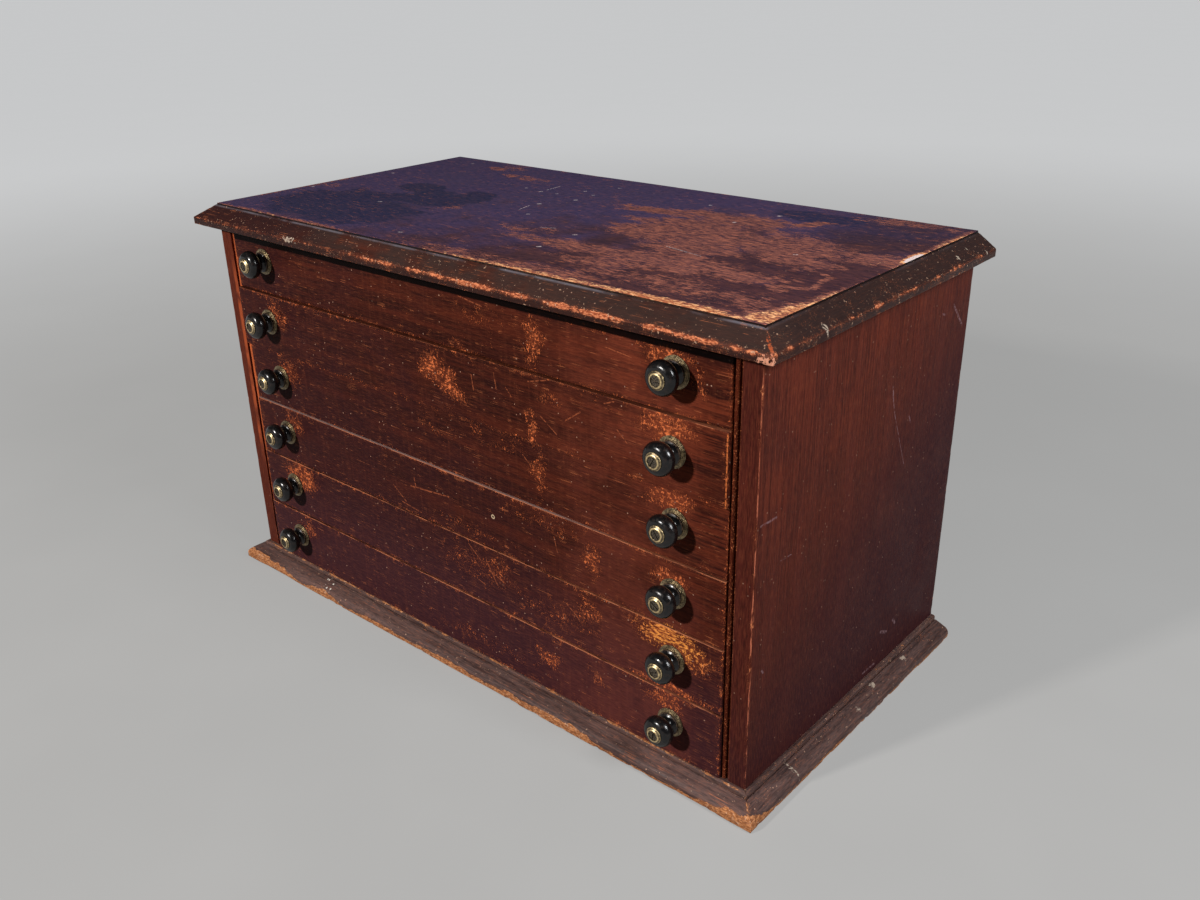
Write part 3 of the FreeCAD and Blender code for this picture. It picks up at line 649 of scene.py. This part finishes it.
# %% [markdown]
# Old varnish on mahogany is one recipe with many variations. Where it has crazed, orange wood
# shows in short curved strokes: the lines where smooth noise crosses its middle value. The
# bareness stored on the points widens them until only islands of varnish are left. An image would
# do too, but it would blur close up and show its seams on the ends.
# %% Varnish over mahogany
CROSS = {"X": (1, 1, 0.45), "Y": (1, 1, 0.45), "Z": (1, 0.5, 1)}  # the crazing's, by grain
ORANGE_WOOD = (222, 130, 84)


def varnished(name, grain, deep, middle, warm, raw=(138, 66, 40), bright=ORANGE_WOOD,
              flecks=0.0, craze=0.07, reach=1.3, run=0.4, chunk=0.75, ragged=0.0, fibre=0.015,
              streaks=0.45, speckled=0.3, scored=0.3, gloss=(0.34, 0.5), shine=0.02,
              patchy=(0.72, 0.8), shade=None, spoil=None, place=None):
    """A varnished wood. shade(paint, colour, mottle) may recolour the varnish, spoil(paint,
    colour) adds single marks over everything, and place(paint) moves the pattern."""
    paint = Paint(name)
    place = place(paint) if place else paint.place

    def grained(share, *settings):
        """Noise drawn out along the grain: its scale there is only that share."""
        scales = tuple(share if axis == grain else 1 for axis in "XYZ")
        return paint.noise(*settings, place=place, stretch=scales)

    streak = grained(0.05, streaks, 4, 0.62)
    band = grained(0.05, 0.08, 2, 0.5, 0.4)
    mottle = paint.noise(0.018, 4, 0.6, place=place)
    pore = grained(0.05, 2.6, 1).soft(0.56, 0.68)
    varnish = paint.over(
        deep, (streak.soft(0.36, 0.64), middle), (band.soft(0.45, 0.68) * 0.6, warm))
    if shade:
        varnish = shade(paint, varnish, mottle)
    hair = grained(0.12, 1.0, 2, 0.6)
    varnish = paint.over(
        varnish, (pore * 0.4, deep), (hair.soft(0.5, 0.62) * fibre, ORANGE_WOOD),
        (hair.soft(0.45, 0.36) * fibre * 6.0, (16, 9, 9)))
    fine = grained(run, chunk, 5, 0.68)
    cluster = paint.noise(0.1, 3, place=place)
    across = paint.noise(0.36, 1.5, place=place, stretch=CROSS[grain])
    along = grained(0.4, 0.42, 1.5)
    spread = paint.bare + flecks + (cluster - 0.5) * 0.8
    stroke = spread * craze - (across - 0.5).size().least((along - 0.5).size() * 3.0)
    strokes = stroke.soft(0.0, 0.01) * fine.soft(0.44, 0.5)
    torn = (cluster - 0.5) * 0.5 + (mottle - 0.5) * ragged
    through = (paint.bare + (fine - 0.5) * reach + torn).soft(*patchy)
    through = through * paint.bare.soft(0.02, 0.2, 0.05, 1.0)
    gone = strokes.most(through)
    wood = paint.over(
        raw, (fine.soft(0.42, 0.62), bright(paint) if callable(bright) else bright),
        (pore * 0.5, middle))
    hairs = []
    for degrees in ((17, 31, 24), (-23, -38, -41), (8, 12, 68)):
        turned_place = paint.node("Mapping", {"vector_type": "POINT"},
                                  {0: place, 2: tuple(np.radians(degrees)), 3: (0.02, 1, 1)})
        hairs.append(paint.noise(1.5, 0, place=turned_place).soft(0.745, 0.79))
    hairs = reduce(Wire.most, hairs) * cluster.soft(0.5, 0.62) * scored
    specks = paint.cells(place, 0.15).soft(0.115, 0.06) * speckled
    specks = specks * paint.noise(0.045, 1, place=place).soft(0.48, 0.6)
    colour = paint.over(
        varnish, (spread.soft(0.25, 0.9) * 0.35, raw), (gone, wood), (hairs, ORANGE_WOOD),
        (specks, (205, 160, 135)))
    if spoil:
        colour = spoil(paint, colour)
    rough = mottle.soft(0.3, 0.7, *gloss) + gone * 0.3 + hairs * 0.2
    height = (1 - gone) * 0.12 - pore * 0.04 + (fine - 0.5) * 0.1 - hairs * 0.08 + streak * 0.05
    return paint.finish(colour, rough, height, **{"Specular IOR Level": shine})


print("bare wood has the colour", ORANGE_WOOD)

# %% [markdown]
# The drawer fronts are the most crazed, because hands go there. Each was cut from another board,
# so its pattern starts elsewhere, and single marks are laid over the pattern by their place.
# %% The drawer fronts
FACE_STROKES = [  # start as x and height, end, width
    (-60, 178.5, -4, 184, 1.1), (-88, 171.5, -70, 158.5, 0.9), (-77, 156.5, -48, 153, 0.9),
    (-54, 189, -52.5, 179, 0.8), (20, 142, 36, 129, 0.8), (44, 131, 57, 110, 1.0),
    (52, 121, 66, 116, 0.8), (146, 125, 161, 114, 0.8), (154, 305, 171, 317, 0.8),
    (72, 328, 74, 314, 0.8), (86, 318, 92, 311, 0.8), (126, 302, 144, 290, 0.7),
    (113, 330, 135, 336, 0.7), (98, 257, 107, 249, 0.8), (178, 55, 182, 68, 0.9),
    (43, 320, 45, 306, 0.8), (210, 312, 220, 303, 0.7), (25, 108, 40, 104, 0.7),
    (133, 188, 137, 172, 0.6), (196, 377, 222, 374, 0.7), (30, 388, 58, 384, 0.8),
    (197, 331, 207, 335, 0.7), (116, 353, 122, 372, 0.7),
]
GLOWS = [(185, 0, 283, 120, 99, 10), (-215, 0, 300, 75, 99, 28), (90, 0, 268, 130, 99, 7),
         (270, 0, 350, 90, 99, 34), (300, 0, 130, 40, 99, 20)]  # centres and half-widths
RING_AT, RING, RING_HOLE = (56.0, 0, 182.5), 2.6, 1.0
# The last height is where the painted shadow under the top moulding ends below.
FOURTH_LEDGE, SECOND_LEDGE, SECOND_MIDDLE, SHADOW_BOTTOM = 211, 338, 306, 388.8  # heights
SECOND_END = corners_of("drawer_2_front")[1][0]
PITCH, NEXT_BOARD = 63.5, (411.7, 37.0)  # from drawer to drawer, and how far the pattern moves


def by_drawer(paint):
    """The place, moved on by a fixed step for each drawer."""
    x, y, z = paint.parts()
    number = z.math("FLOOR", (z - FLOOR) / PITCH)
    return paint.joined(x + number * NEXT_BOARD[0], y, z + number * NEXT_BOARD[1])


def front_shade(paint, colour, mottle):
    """Redder above and to the right, purple to the lower left, with faint runs and glows."""
    x, _, z = paint.parts()
    cool = (x * -0.0012 - z * 0.0022 + mottle * 1.2).soft(-0.3, 0.5)
    thread = paint.noise(0.4, 4, 0.65, stretch=(0.025, 1, 1))
    warm = (x + z * 0.8).soft(330, 600) * (thread + (mottle - 0.5)).soft(0.46, 0.62)
    pale = x.soft(90, 200) * x.soft(300, 262) * mottle.soft(0.4, 0.56, 0.4)
    runs = paint.noise(0.3, 3, 0.6, stretch=(1, 1, 0.06))
    glow = paint.ovals(*GLOWS) * mottle.soft(0.38, 0.6)
    return paint.over(
        colour, (cool * 0.8, (49, 24, 27)), (z.soft(175, 60) * 0.5, (66, 37, 44)),
        (warm * 0.5, (122, 54, 34)), (pale * 0.17, (156, 78, 58)),
        (runs.soft(0.5, 0.72) * 0.06, (150, 80, 56)), (glow * 0.8, (126, 58, 36)))


def front_marks(paint, colour):
    """Scratches, a pale ring, raw wood on the upper edges and on the second front's end, a painted
    sheen on the fourth front's upper edge, painted shade on most of the second's, and a painted
    shadow of the top moulding, a near-black line under it."""
    x, _, z = paint.parts()
    _, forward, upward = paint.normal()
    flat = paint.joined(x, 0.0, z)
    strokes = [((a, 0, b), (c, 0, d), width) for a, b, c, d, width in FACE_STROKES]
    away = paint.vector("DISTANCE", flat, RING_AT, out="Value")
    rubbed = paint.noise(0.5, 4, 0.7, stretch=(0.08, 1, 1))
    # Painted sheen: a pale grey reflection painted on the fourth front's upper edge.
    fourth_sheen = (z - FOURTH_LEDGE).size().soft(8, 4) * x.soft(230, 120)
    # Painted shade: most of the second front's upper edge is darkened, all but its right end.
    second = (z - SECOND_LEDGE).size().soft(8, 4) * x.soft(340, 220)
    ledge = paint.mix((rubbed + x.soft(-320, 320, -0.1, 0.1)).soft(0.42, 0.6),
                      (48, 27, 22), (128, 76, 54))
    ledge = paint.over(ledge, (fourth_sheen * 0.7, (150, 128, 124)), (second * 0.85, (50, 23, 17)))
    arris = upward.soft(0.1, 0.35) * upward.soft(0.95, 0.75) * (0.9 - second * 0.7)
    end = (z - SECOND_MIDDLE).size().soft(31, 29) * forward.soft(-0.5, -0.7)
    end = end * x.soft(SECOND_END - 1.5, SECOND_END - 0.9) * rubbed.soft(0.4, 0.5)
    # Painted shadow of the top moulding: a near-black band, ragged below, across the first front's
    # upper edge.
    painted_shadow = (z + paint.noise(0.05, 2, place=flat) * 1.5).soft(SHADOW_BOTTOM, SHADOW_BOTTOM + 1.3)
    painted_shadow = painted_shadow * z.soft(SHADOW_BOTTOM + 8.5, SHADOW_BOTTOM + 5.5)
    return paint.over(
        colour, (paint.scratches(flat, strokes, 0.5) * 0.6, (176, 96, 62)),
        (away.soft(RING, RING - 0.7), (196, 170, 140)),
        (away.soft(RING_HOLE + 0.3, RING_HOLE), (24, 14, 12)),
        (upward.soft(0.6, 0.9) * 0.85, ledge),
        (arris * rubbed.soft(0.4, 0.53), (190, 118, 84)), (end * 0.9, (206, 112, 60)),
        (painted_shadow * 0.97, (5, 3, 3)))


def flaked(paint):
    """Orange, and more yellow round the lowest but one of the right knobs."""
    return paint.mix(paint.ovals((266, FRONT, 136, 46, 90, 24)), (228, 122, 72), (246, 158, 76))


coat(varnished(
    "crazed_varnish_on_drawers", "X", (42, 17, 14), (64, 27, 20), (86, 36, 23), bright=flaked,
    flecks=-0.04, chunk=0.55, fibre=0.03, patchy=(0.96, 1.05), shade=front_shade,
    spoil=front_marks, place=by_drawer, speckled=0.7), *(f"worn_front_{n}" for n in DRAWERS))

# %% [markdown]
# The sides were touched less, so their varnish is nearly whole, with its streaks upright, and
# their light and shade are painted in. The bead strips are redder, and the left one is painted
# bright: partly worn wood, partly painted light.
# %% The sides and the bead strips
SIDE_STROKES = [  # start as depth behind the front edge and height, end, width
    (204, 316, 207, 302, 1.2), (207, 302, 214, 284, 0.8), (214, 284, 241, 229, 0.5),
    (6, 265, 27, 264, 1.4), (37, 222, 52, 221, 0.7), (310, 362, 333, 338, 1.6),
    (228, 58, 240, 52, 2.2), (252, 60, 257, 54, 2.2), (198, 27, 222, 26, 1.6),
    (17, 130, 19, 127, 1.4), (241, 277, 245, 270, 1.2), (288, 359, 294, 357, 1.2),
]


def side_shade(paint, colour, mottle):
    """Orange-brown above as painted light, purple and darker below and to the back as painted
    shade. The left stile is painted brighter as light, and worn orange on its inner edge.
    """
    x, y, z = paint.parts()
    forward = paint.normal()[1]
    # Painted shade: darker and purple lower down and towards the back.
    low = (z * -0.0032 + y * 0.003 + mottle * 0.9).soft(-0.6, 0.35)
    thread = paint.noise(0.45, 4, 0.65, stretch=(1, 1, 0.02))
    # Painted light: orange-brown towards the top and front, broken into streaks along the grain.
    warm = (z - y * 0.5).soft(150, 380) * (thread + (mottle - 0.5) * 0.4).soft(0.42, 0.6)
    warm = warm * forward.soft(-0.9, -0.6, 0.15, 0.55)
    # Painted light: the left stile's face is brighter.
    left = forward.soft(-0.6, -0.9) * x.soft(0, -1)
    # Wear: orange on the left stile's inner edge, at middle height.
    inner = left * x.soft(10 - HALF, 13 - HALF) * (z - 250).size().soft(130, 80)
    inner = inner * mottle.soft(0.4, 0.55)
    return paint.over(
        colour, (low * 0.85, (52, 28, 33)), (warm, (110, 50, 36)), (left * 0.7, (88, 37, 24)),
        (inner * 0.7, (176, 84, 48)))


def side_marks(paint, colour):
    """Single scratches, and a rubbed line along the front arris that fades upwards."""
    _, y, z = paint.parts()
    forward = paint.normal()[1]
    strokes = [((0, FRONT + a, b), (0, FRONT + c, d), width) for a, b, c, d, width in SIDE_STROKES]
    scratch = paint.scratches(paint.joined(0.0, y, z), strokes, 0.35)
    arris = forward.soft(-0.08, -0.3) * forward.soft(-0.99, -0.93)
    arris = arris * z.soft(400, 250, 0.35, 0.8)
    rubbed = paint.noise(0.4, 4, 0.7, stretch=(1, 1, 0.1))
    return paint.over(
        colour, (scratch * 0.5, (150, 118, 122)),
        (arris * rubbed.soft(0.45, 0.56), (196, 112, 84)))


coat(varnished(
    "varnish_on_sides", "Z", (60, 26, 21), (80, 34, 27), (84, 37, 30), bright=(222, 138, 92),
    shade=side_shade, spoil=side_marks, flecks=-0.1, scored=0.0, craze=0.03, reach=0.9,
    streaks=0.9, fibre=0.04, speckled=0.35), "worn_side_left", "worn_side_right")


def strip_shade(paint, colour, mottle):
    """Painted light and wear: the left strip is bright orange-brown, most of all at middle height.
    """
    x, _, z = paint.parts()
    # Painted light and wear: the left strip is brightened towards orange-brown.
    share = x.soft(0, -1) * (z - 230).size().soft(190, 90, 0.45, 0.9)
    return paint.mix(share * mottle.soft(0.36, 0.56, 0.5, 1.0), colour, (206, 104, 60))


coat(varnished("varnish_on_bead_strips", "Z", (56, 22, 14), (80, 32, 19), (104, 43, 24),
               flecks=0.1, scored=0.0, shade=strip_shade), "worn_bead_strips")

# %% [markdown]
# The top's purple tint is partly its own and partly a painted bluish reflection, and something
# was spilt on its left. Noise can't place single scratches, so they are short segments, each with
# its own width.
# %% The top
TOP_STROKES = [  # start as x and distance behind the front edge, end, width
    (-104, 275, -102, 252, 0.7), (-62, 184, -57, 164, 0.6), (14, 120, 28, 126, 0.5),
    (152, 133, 196, 123, 0.6)]
TOP_DOTS = [  # x, distance behind the front edge, width
    (-102.2, 241.4, 1.9), (-45.2, 304.4, 1.5), (-64.7, 270.4, 1.4), (-43.7, 259.4, 1.3),
    (-42.2, 230.4, 1.9), (-60.2, 194.9, 2), (-35.7, 153.4, 1.5), (-80.2, 242.9, 1.4),
    (-128.7, 246.9, 1.3), (59.3, 116.4, 1.9), (63.3, 65.4, 2), (84.3, 290.9, 1.4),
    (146.8, 242.4, 1.9), (166.3, 289.4, 2.1), (-330.2, 113.4, 1.5), (-320.7, 219.4, 1.5),
    (-78.2, 28.4, 1.7), (255.3, 173.4, 1.6), (-203.2, 105.4, 1.9), (-288.7, 317.4, 1.5)]
SPILLS = [(-220, 72, 128, 80), (-224, 182, 38, 28), (-138, 172, 36, 42), (-185, 165, 40, 28),
          (-170, 140, 70, 30), (200, 305, 60, 26), (195, 170, 26, 16)]


def top_shade(paint, colour, mottle):
    """A purple tint, partly painted reflection, fading towards the front and the right, darker
    brown at the back right, and the blue-black spill.
    """
    x, y, _ = paint.parts()
    # Partly painted reflection: the purple tint, strongest towards the back left.
    cool = ((mottle - 0.5) * 1.1 - x * 0.0012 + y * 0.0017).soft(-0.4, 0.1)
    dusk = x.soft(190, 280) * (y - x * 0.2).soft(-60, 60) * mottle.soft(0.3, 0.5)
    spill = paint.ovals(*((across, FRONT + depth, CEILING + TOP_HIGH, wide, far, 60)
                          for across, depth, wide, far in SPILLS))
    shreds = paint.noise(0.11, 4, 0.6, stretch=(0.4, 1, 1))
    ragged = (spill + (mottle + shreds - 1) * 1.1).soft(0.35, 0.65)
    return paint.over(
        colour, (cool * 0.9, (65, 57, 93)), (dusk * 0.6, (42, 32, 44)),
        (ragged * 0.92, (37, 41, 72)))


def top_marks(paint, colour):
    """Pale scratches, a bright rubbed ridge, and black in the step below the field."""
    x, y, _ = paint.parts()
    rows = TOP_STROKES + [(a, b, a + 1.5, b + 1.2, width) for a, b, width in TOP_DOTS]
    strokes = [((a, FRONT + b, 0), (c, FRONT + d, 0), width) for a, b, c, d, width in rows]
    scratch = paint.scratches(paint.joined(x, y, 0.0), strokes, 0.6)
    fret = paint.noise(0.9, 4, 0.7, stretch=(0.25, 0.6, 1))
    ridge = (paint.bare + (fret - 0.5) * 2.0).soft(0.8, 0.96)
    ridge = ridge * (x.size() - HALF + 26).most(FRONT + 22 - y).soft(0, 8)
    chip = (paint.bare + (fret - 0.5) * 0.5).soft(1.38, 1.46)
    rubbed = paint.mix(fret.soft(0.47, 0.62), (178, 100, 64), (255, 192, 138))
    return paint.over(
        colour, (ridge, rubbed), (chip, (226, 206, 202)), (scratch * 0.9, (225, 208, 205)),
        (paint.normal()[2].soft(0.85, 0.6) * 0.95, (14, 10, 11)))


coat(varnished(
    "varnish_with_painted_reflection_on_top", "X", (54, 34, 44), (72, 45, 54), (84, 50, 54), raw=(68, 44, 55),
    bright=(170, 103, 84), craze=0.0, reach=3.0, run=0.12, ragged=1.4, chunk=0.95, fibre=0.06,
    shine=0.12, patchy=(0.44, 0.54), shade=top_shade, spoil=top_marks, speckled=0.5,
    scored=0.55, gloss=(0.4, 0.55)), "worn_top_field")

# %% [markdown]
# The mouldings were stained black, and they take the knocks. The same nicks go over both, as one
# function, because it finds its marks by their place.
# %% The mouldings
def bevel_shade(paint, colour, mottle):
    """Ebonised grey-brown, redder towards the left and below the bevel, with a thin painted grey
    highlight along its upper edge."""
    x, y, z = paint.parts()
    edge, upper = CEILING + EDGE, CEILING + BEVEL_TOP
    grey = (x * 0.0011 + (mottle - 0.5) * 2.2).soft(-0.5, 0.2)
    grey = grey * z.soft(edge - 1, edge + 2, 0.45, 1.0)
    # Painted highlight: a thin grey line along the bevel's upper edge, mostly on the front.
    crest_highlight = z.soft(upper - 1.5, upper - 0.4) * y.soft(FRONT + 2, FRONT - 2, 0.15, 1.0)
    return paint.over(
        colour, (grey * 0.85, (52, 40, 37)), (x.soft(-90, -240) * 0.8, (38, 20, 22)),
        (y.soft(FRONT, FRONT + 30) * 0.5, (38, 26, 26)),
        (z.soft(edge, edge - 1.5) * 0.7, (38, 17, 14)),
        (crest_highlight * mottle.soft(0.38, 0.6) * 0.5, (124, 122, 132)))


SCUFFS = [  # distance beyond the right side and behind the front edge, height, half-widths
    (-HALF - 190, -18, CEILING + 7, 17, 8, 4), (16, 52, CEILING + 9, 5, 5, 8),
    (12, 278, CEILING + 12, 5, 4, 3), (8, 303, CEILING + 14, 5, 3, 3),
    (17, 326, CEILING + 6, 5, 2, 7), (12, 54, 12, 16, 3, 16), (8, 203, 15, 5, 6, 4),
    (15, 165, 11, 6, 5, 6), (10, 262, 14, 5, 7, 3),
]


def nicks(paint, colour):
    """Nicks where rough noise peaks, raw wood at the mitre, scuffs, and drops on the base."""
    x, y, z = paint.parts()
    grit = paint.noise(0.32, 4, 0.7)
    mitre = (x - HALF + y - FRONT).size().soft(4.0, 1.0)
    mitre = mitre * z.soft(CEILING + 19, CEILING + 14) * z.soft(CEILING, CEILING + 1)
    mitre = mitre.most(paint.ovals((HALF + 13, FRONT - 19, CEILING + 3, 11, 8, 6)))
    split = paint.mix(z.soft(CEILING + 10, CEILING + 6), (160, 78, 46), (216, 150, 122))
    scuffs = paint.ovals(*((HALF + out, FRONT + depth, *others) for out, depth, *others in SCUFFS))
    drops = paint.ovals((-208, FRONT - 11, 15, 13, 10, 9))
    drops = drops * paint.cells(paint.place, 0.24).soft(0.3, 0.24)
    return paint.over(
        colour, ((grit + paint.bare * 0.05).soft(0.655, 0.685) * 0.75, (200, 160, 132)),
        ((mitre + (grit - 0.5) * 3.0).soft(0.8, 0.95), split),
        ((scuffs + (grit - 0.5) * 3.4).soft(0.8, 1.1) * 0.85, (184, 166, 148)),
        (drops.soft(0.2, 0.5), (216, 208, 198)))


for grain, where in (("X", "front"), ("Y", "ends")):
    coat(varnished(
        f"varnish_on_top_moulding_{where}", grain, (50, 26, 21), (70, 32, 23), (92, 42, 27),
        bright=(220, 134, 92), craze=0.03, shade=bevel_shade, spoil=nicks, speckled=0.5,
        shine=0.1), f"worn_top_moulding_{where}")
    # The base moulding's greyish purple is partly its own tone and partly a painted sheen of its
    # upward slope.
    base_moulding = varnished(
        f"varnish_on_base_moulding_{where}", grain, (64, 47, 45), (90, 70, 66), (104, 80, 75),
        raw=(132, 80, 48), bright=(196, 132, 86), flecks=-0.1, craze=0.04, fibre=0.06,
        spoil=nicks, speckled=0.9, scored=0.4, gloss=(0.4, 0.6), shine=0.12)
    coat(base_moulding, f"worn_base_moulding_{where}")
    if where == "front":
        coat(base_moulding, "worn_base_board")

# %% [markdown]
# The knobs are under thick glossy black lacquer, with a brown blush where hands have thinned it.
# The brass has browned, and only its rubbed rims are still pale. Dirt sits on the screws.
# %% Lacquer, brass and iron
lacquer = Paint("black_lacquer")
smear = lacquer.noise(0.35, 4, 0.6)
thin = (lacquer.bare * 3.0 + (lacquer.noise(0.9, 4, 0.7) - 0.5) * 3.0).soft(1.1, 1.7)
black = lacquer.over((12, 11, 12), (smear.soft(0.45, 0.75), (34, 24, 20)),
                     (thin * 0.7, (112, 84, 60)))
lacquer_finish = lacquer.finish(
    black, smear.soft(0.3, 0.75, 0.15, 0.34) + thin * 0.35,
    lacquer.noise(0.5, 2) * 0.06, **{"Specular IOR Level": 0.4})

brass = Paint("aged_brass")
tarnish = brass.noise(0.55, 4, 0.62)
polished = (brass.bare + (tarnish - 0.5) * 0.7).soft(0.62, 1.05)
metal = brass.over((84, 73, 58), (tarnish.soft(0.3, 0.7), (116, 101, 80)),
                   (polished, (230, 204, 152)))
brass_finish = brass.finish(metal, tarnish.soft(0.3, 0.7, 0.28, 0.5),
                            brass.noise(2.0, 3) * 0.03, Metallic=0.85)

screw = Paint("dirty_screw")
grime = screw.noise(0.9, 4, 0.6).soft(0.42, 0.6)
screw_finish = screw.finish(screw.mix(grime, (104, 94, 80), (40, 35, 31)), grime * 0.3 + 0.35,
                            screw.noise(2.5, 2) * 0.04, Metallic=0.8)
for n in DRAWERS:
    coat(lacquer_finish, f"turned_knobs_{n}")
    coat(brass_finish, f"brass_plates_and_bosses_{n}")
    coat(screw_finish, f"slotted_screws_{n}")

nail = Paint("rusted_nails")
rust = nail.noise(1.2, 4, 0.65)
coat(nail.finish(nail.mix(rust.soft(0.4, 0.6), (58, 50, 46), (112, 62, 38)),
                 rust.soft(0.35, 0.65, 0.5, 0.85), rust * 0.1, Metallic=0.5), "back_nails")

# %% [markdown]
# Inside, nothing was ever varnished: the drawer boxes are pale wood that has browned, with dust,
# and the grain runs along each piece.
# %% Plain wood inside
def plain(name, stretch, pale, brown, dust=0.5):
    """Unvarnished wood: growth rings as stretched noise, fine pores, brown clouds, grey dust."""
    paint = Paint(name)
    ring = paint.noise(0.16, 3, 0.6, 0.6, stretch=stretch)
    fibre = paint.noise(1.6, 3, 0.6, stretch=stretch)
    colour = paint.over(
        pale, (ring.soft(0.35, 0.65), brown),
        (fibre.soft(0.52, 0.7) * 0.4, (96, 62, 38)),
        (paint.noise(0.02, 4, 0.6).soft(0.45, 0.7) * dust, (112, 88, 66)))
    return paint.finish(colour, fibre.soft(0.3, 0.7, 0.6, 0.85), fibre * 0.12 + ring * 0.1)


ALONG_X, ALONG_Y = (0.05, 1, 1), (1, 0.05, 1)
along_x = plain("plain_wood_across", ALONG_X, (186, 146, 100), (158, 116, 74))
along_y = plain("plain_wood_lengthwise", ALONG_Y, (186, 146, 100), (158, 116, 74))
coat(plain("plain_wood_of_back", ALONG_X, (140, 100, 68), (112, 76, 50), 0.7), "case_back")
coat(along_y, "drawer_runners")
for n in DRAWERS:
    coat(along_x, f"drawer_{n}_back", f"drawer_{n}_bottom")
    coat(along_y, f"drawer_{n}_side_left", f"drawer_{n}_side_right", f"drawer_{n}_dividers")

# %% [markdown]
# The camera stands where the photograph was taken, to the right of the front and above. Its
# place, turns and lens were worked out from the cabinet's straight edges.
# %% The camera
CAMERA_AT = (0.7289, -0.6165 + FRONT * MM, 0.6568)
AZIMUTH, ELEVATION, ROLL = np.radians([41.272, 24.286, -1.137])
FOCAL_PIXELS, PICTURE_WIDE, SENSOR = 1107.52, 1200, 36.0


def placed(thing, at, *axes):
    """Puts a new object into the scene, with its own X, Y and Z along the three axes."""
    pose = np.eye(4)
    pose[:3, :3] = np.stack(axes, axis=1)
    pose[:3, 3] = at
    thing.matrix_world = Matrix(pose.tolist())
    scene.collection.objects.link(thing)


ahead = np.array([-np.sin(AZIMUTH) * np.cos(ELEVATION), np.cos(AZIMUTH) * np.cos(ELEVATION),
                  -np.sin(ELEVATION)])
level_right = np.cross(ahead, (0, 0, 1))
level_right /= np.linalg.norm(level_right)
level_up = np.cross(level_right, ahead)
camera = bpy.data.objects.new("camera", bpy.data.cameras.new("camera"))
camera.data.sensor_width = SENSOR
camera.data.lens = SENSOR * FOCAL_PIXELS / PICTURE_WIDE
placed(camera, CAMERA_AT, np.cos(ROLL) * level_right + np.sin(ROLL) * level_up,
       np.cos(ROLL) * level_up - np.sin(ROLL) * level_right, -ahead)
scene.camera = camera
print("lens", round(camera.data.lens, 2), "mm")

# %% [markdown]
# The main light comes from the upper left in front: its place was fitted to the shadows of all
# twelve knobs. A second one lights the right side and the top. The floor and the surround look
# pale to the camera but give little light, so the shadows are dark.
# %% Floor, surround and lamps
WIDE, DOWN = 40.0, -0.0004
floor_mesh = bpy.data.meshes.new("floor")
floor_mesh.from_pydata([(-WIDE, -WIDE, DOWN), (WIDE, -WIDE, DOWN), (WIDE, WIDE, DOWN),
                        (-WIDE, WIDE, DOWN)], [], [(0, 1, 2, 3)])
floor = bpy.data.objects.new("floor", floor_mesh)
scene.collection.objects.link(floor)
ground = Paint("pale_floor")
seen = ground.node("LightPath", out="Is Camera Ray").most(
    ground.node("LightPath", out="Is Glossy Ray"))
distance = ground.vector("LENGTH", ground.place, out="Value")
glow = ground.mix(distance.soft(700, 3500), (150, 150, 149), (196, 197, 198))
cloud = ground.noise(0.004, 3).soft(0.3, 0.7)
floor.data.materials.append(ground.finish(
    ground.mix(cloud, (96, 95, 94), (101, 100, 99)), 0.9,
    **{"Emission Color": ground.mix(seen, (0, 0, 0), glow), "Emission Strength": 1.0}))

LIGHT_GIVEN, LIGHT_SEEN = 0.08, 0.6
world = bpy.data.worlds.new("surround")
world.use_nodes = True
scene.world = world
nodes, links = world.node_tree.nodes, world.node_tree.links
nodes["Background"].inputs["Color"].default_value = (0.93, 0.95, 1.0, 1.0)
level = nodes.new("ShaderNodeMapRange")
level.inputs["To Min"].default_value = LIGHT_GIVEN
level.inputs["To Max"].default_value = LIGHT_SEEN
links.new(nodes.new("ShaderNodeLightPath").outputs["Is Camera Ray"], level.inputs["Value"])
links.new(level.outputs["Result"], nodes["Background"].inputs["Strength"])


def lamp(name, at, target, wide, power, colour):
    """A square area light that faces the target: its -Z axis lies along target - at."""
    light = bpy.data.lights.new(name, "AREA")
    light.size, light.energy, light.color = wide, power, colour
    away = np.subtract(at, target)
    away = away / np.linalg.norm(away)
    side = np.cross((0, 0, 1), away)
    side /= np.linalg.norm(side)
    placed(bpy.data.objects.new(name, light), at, side, np.cross(away, side), away)
    print(name, power, "W")


lamp("main_light", (-0.648, -2.693, 1.654), (0, -0.1, 0.22), 0.2, 94, (1.0, 0.97, 0.93))
lamp("right_light", (1.6, -0.1, 1.25), (0.2, 0, 0.2), 0.5, 27, (0.96, 0.98, 1.0))
scene.view_settings.view_transform = "Standard"
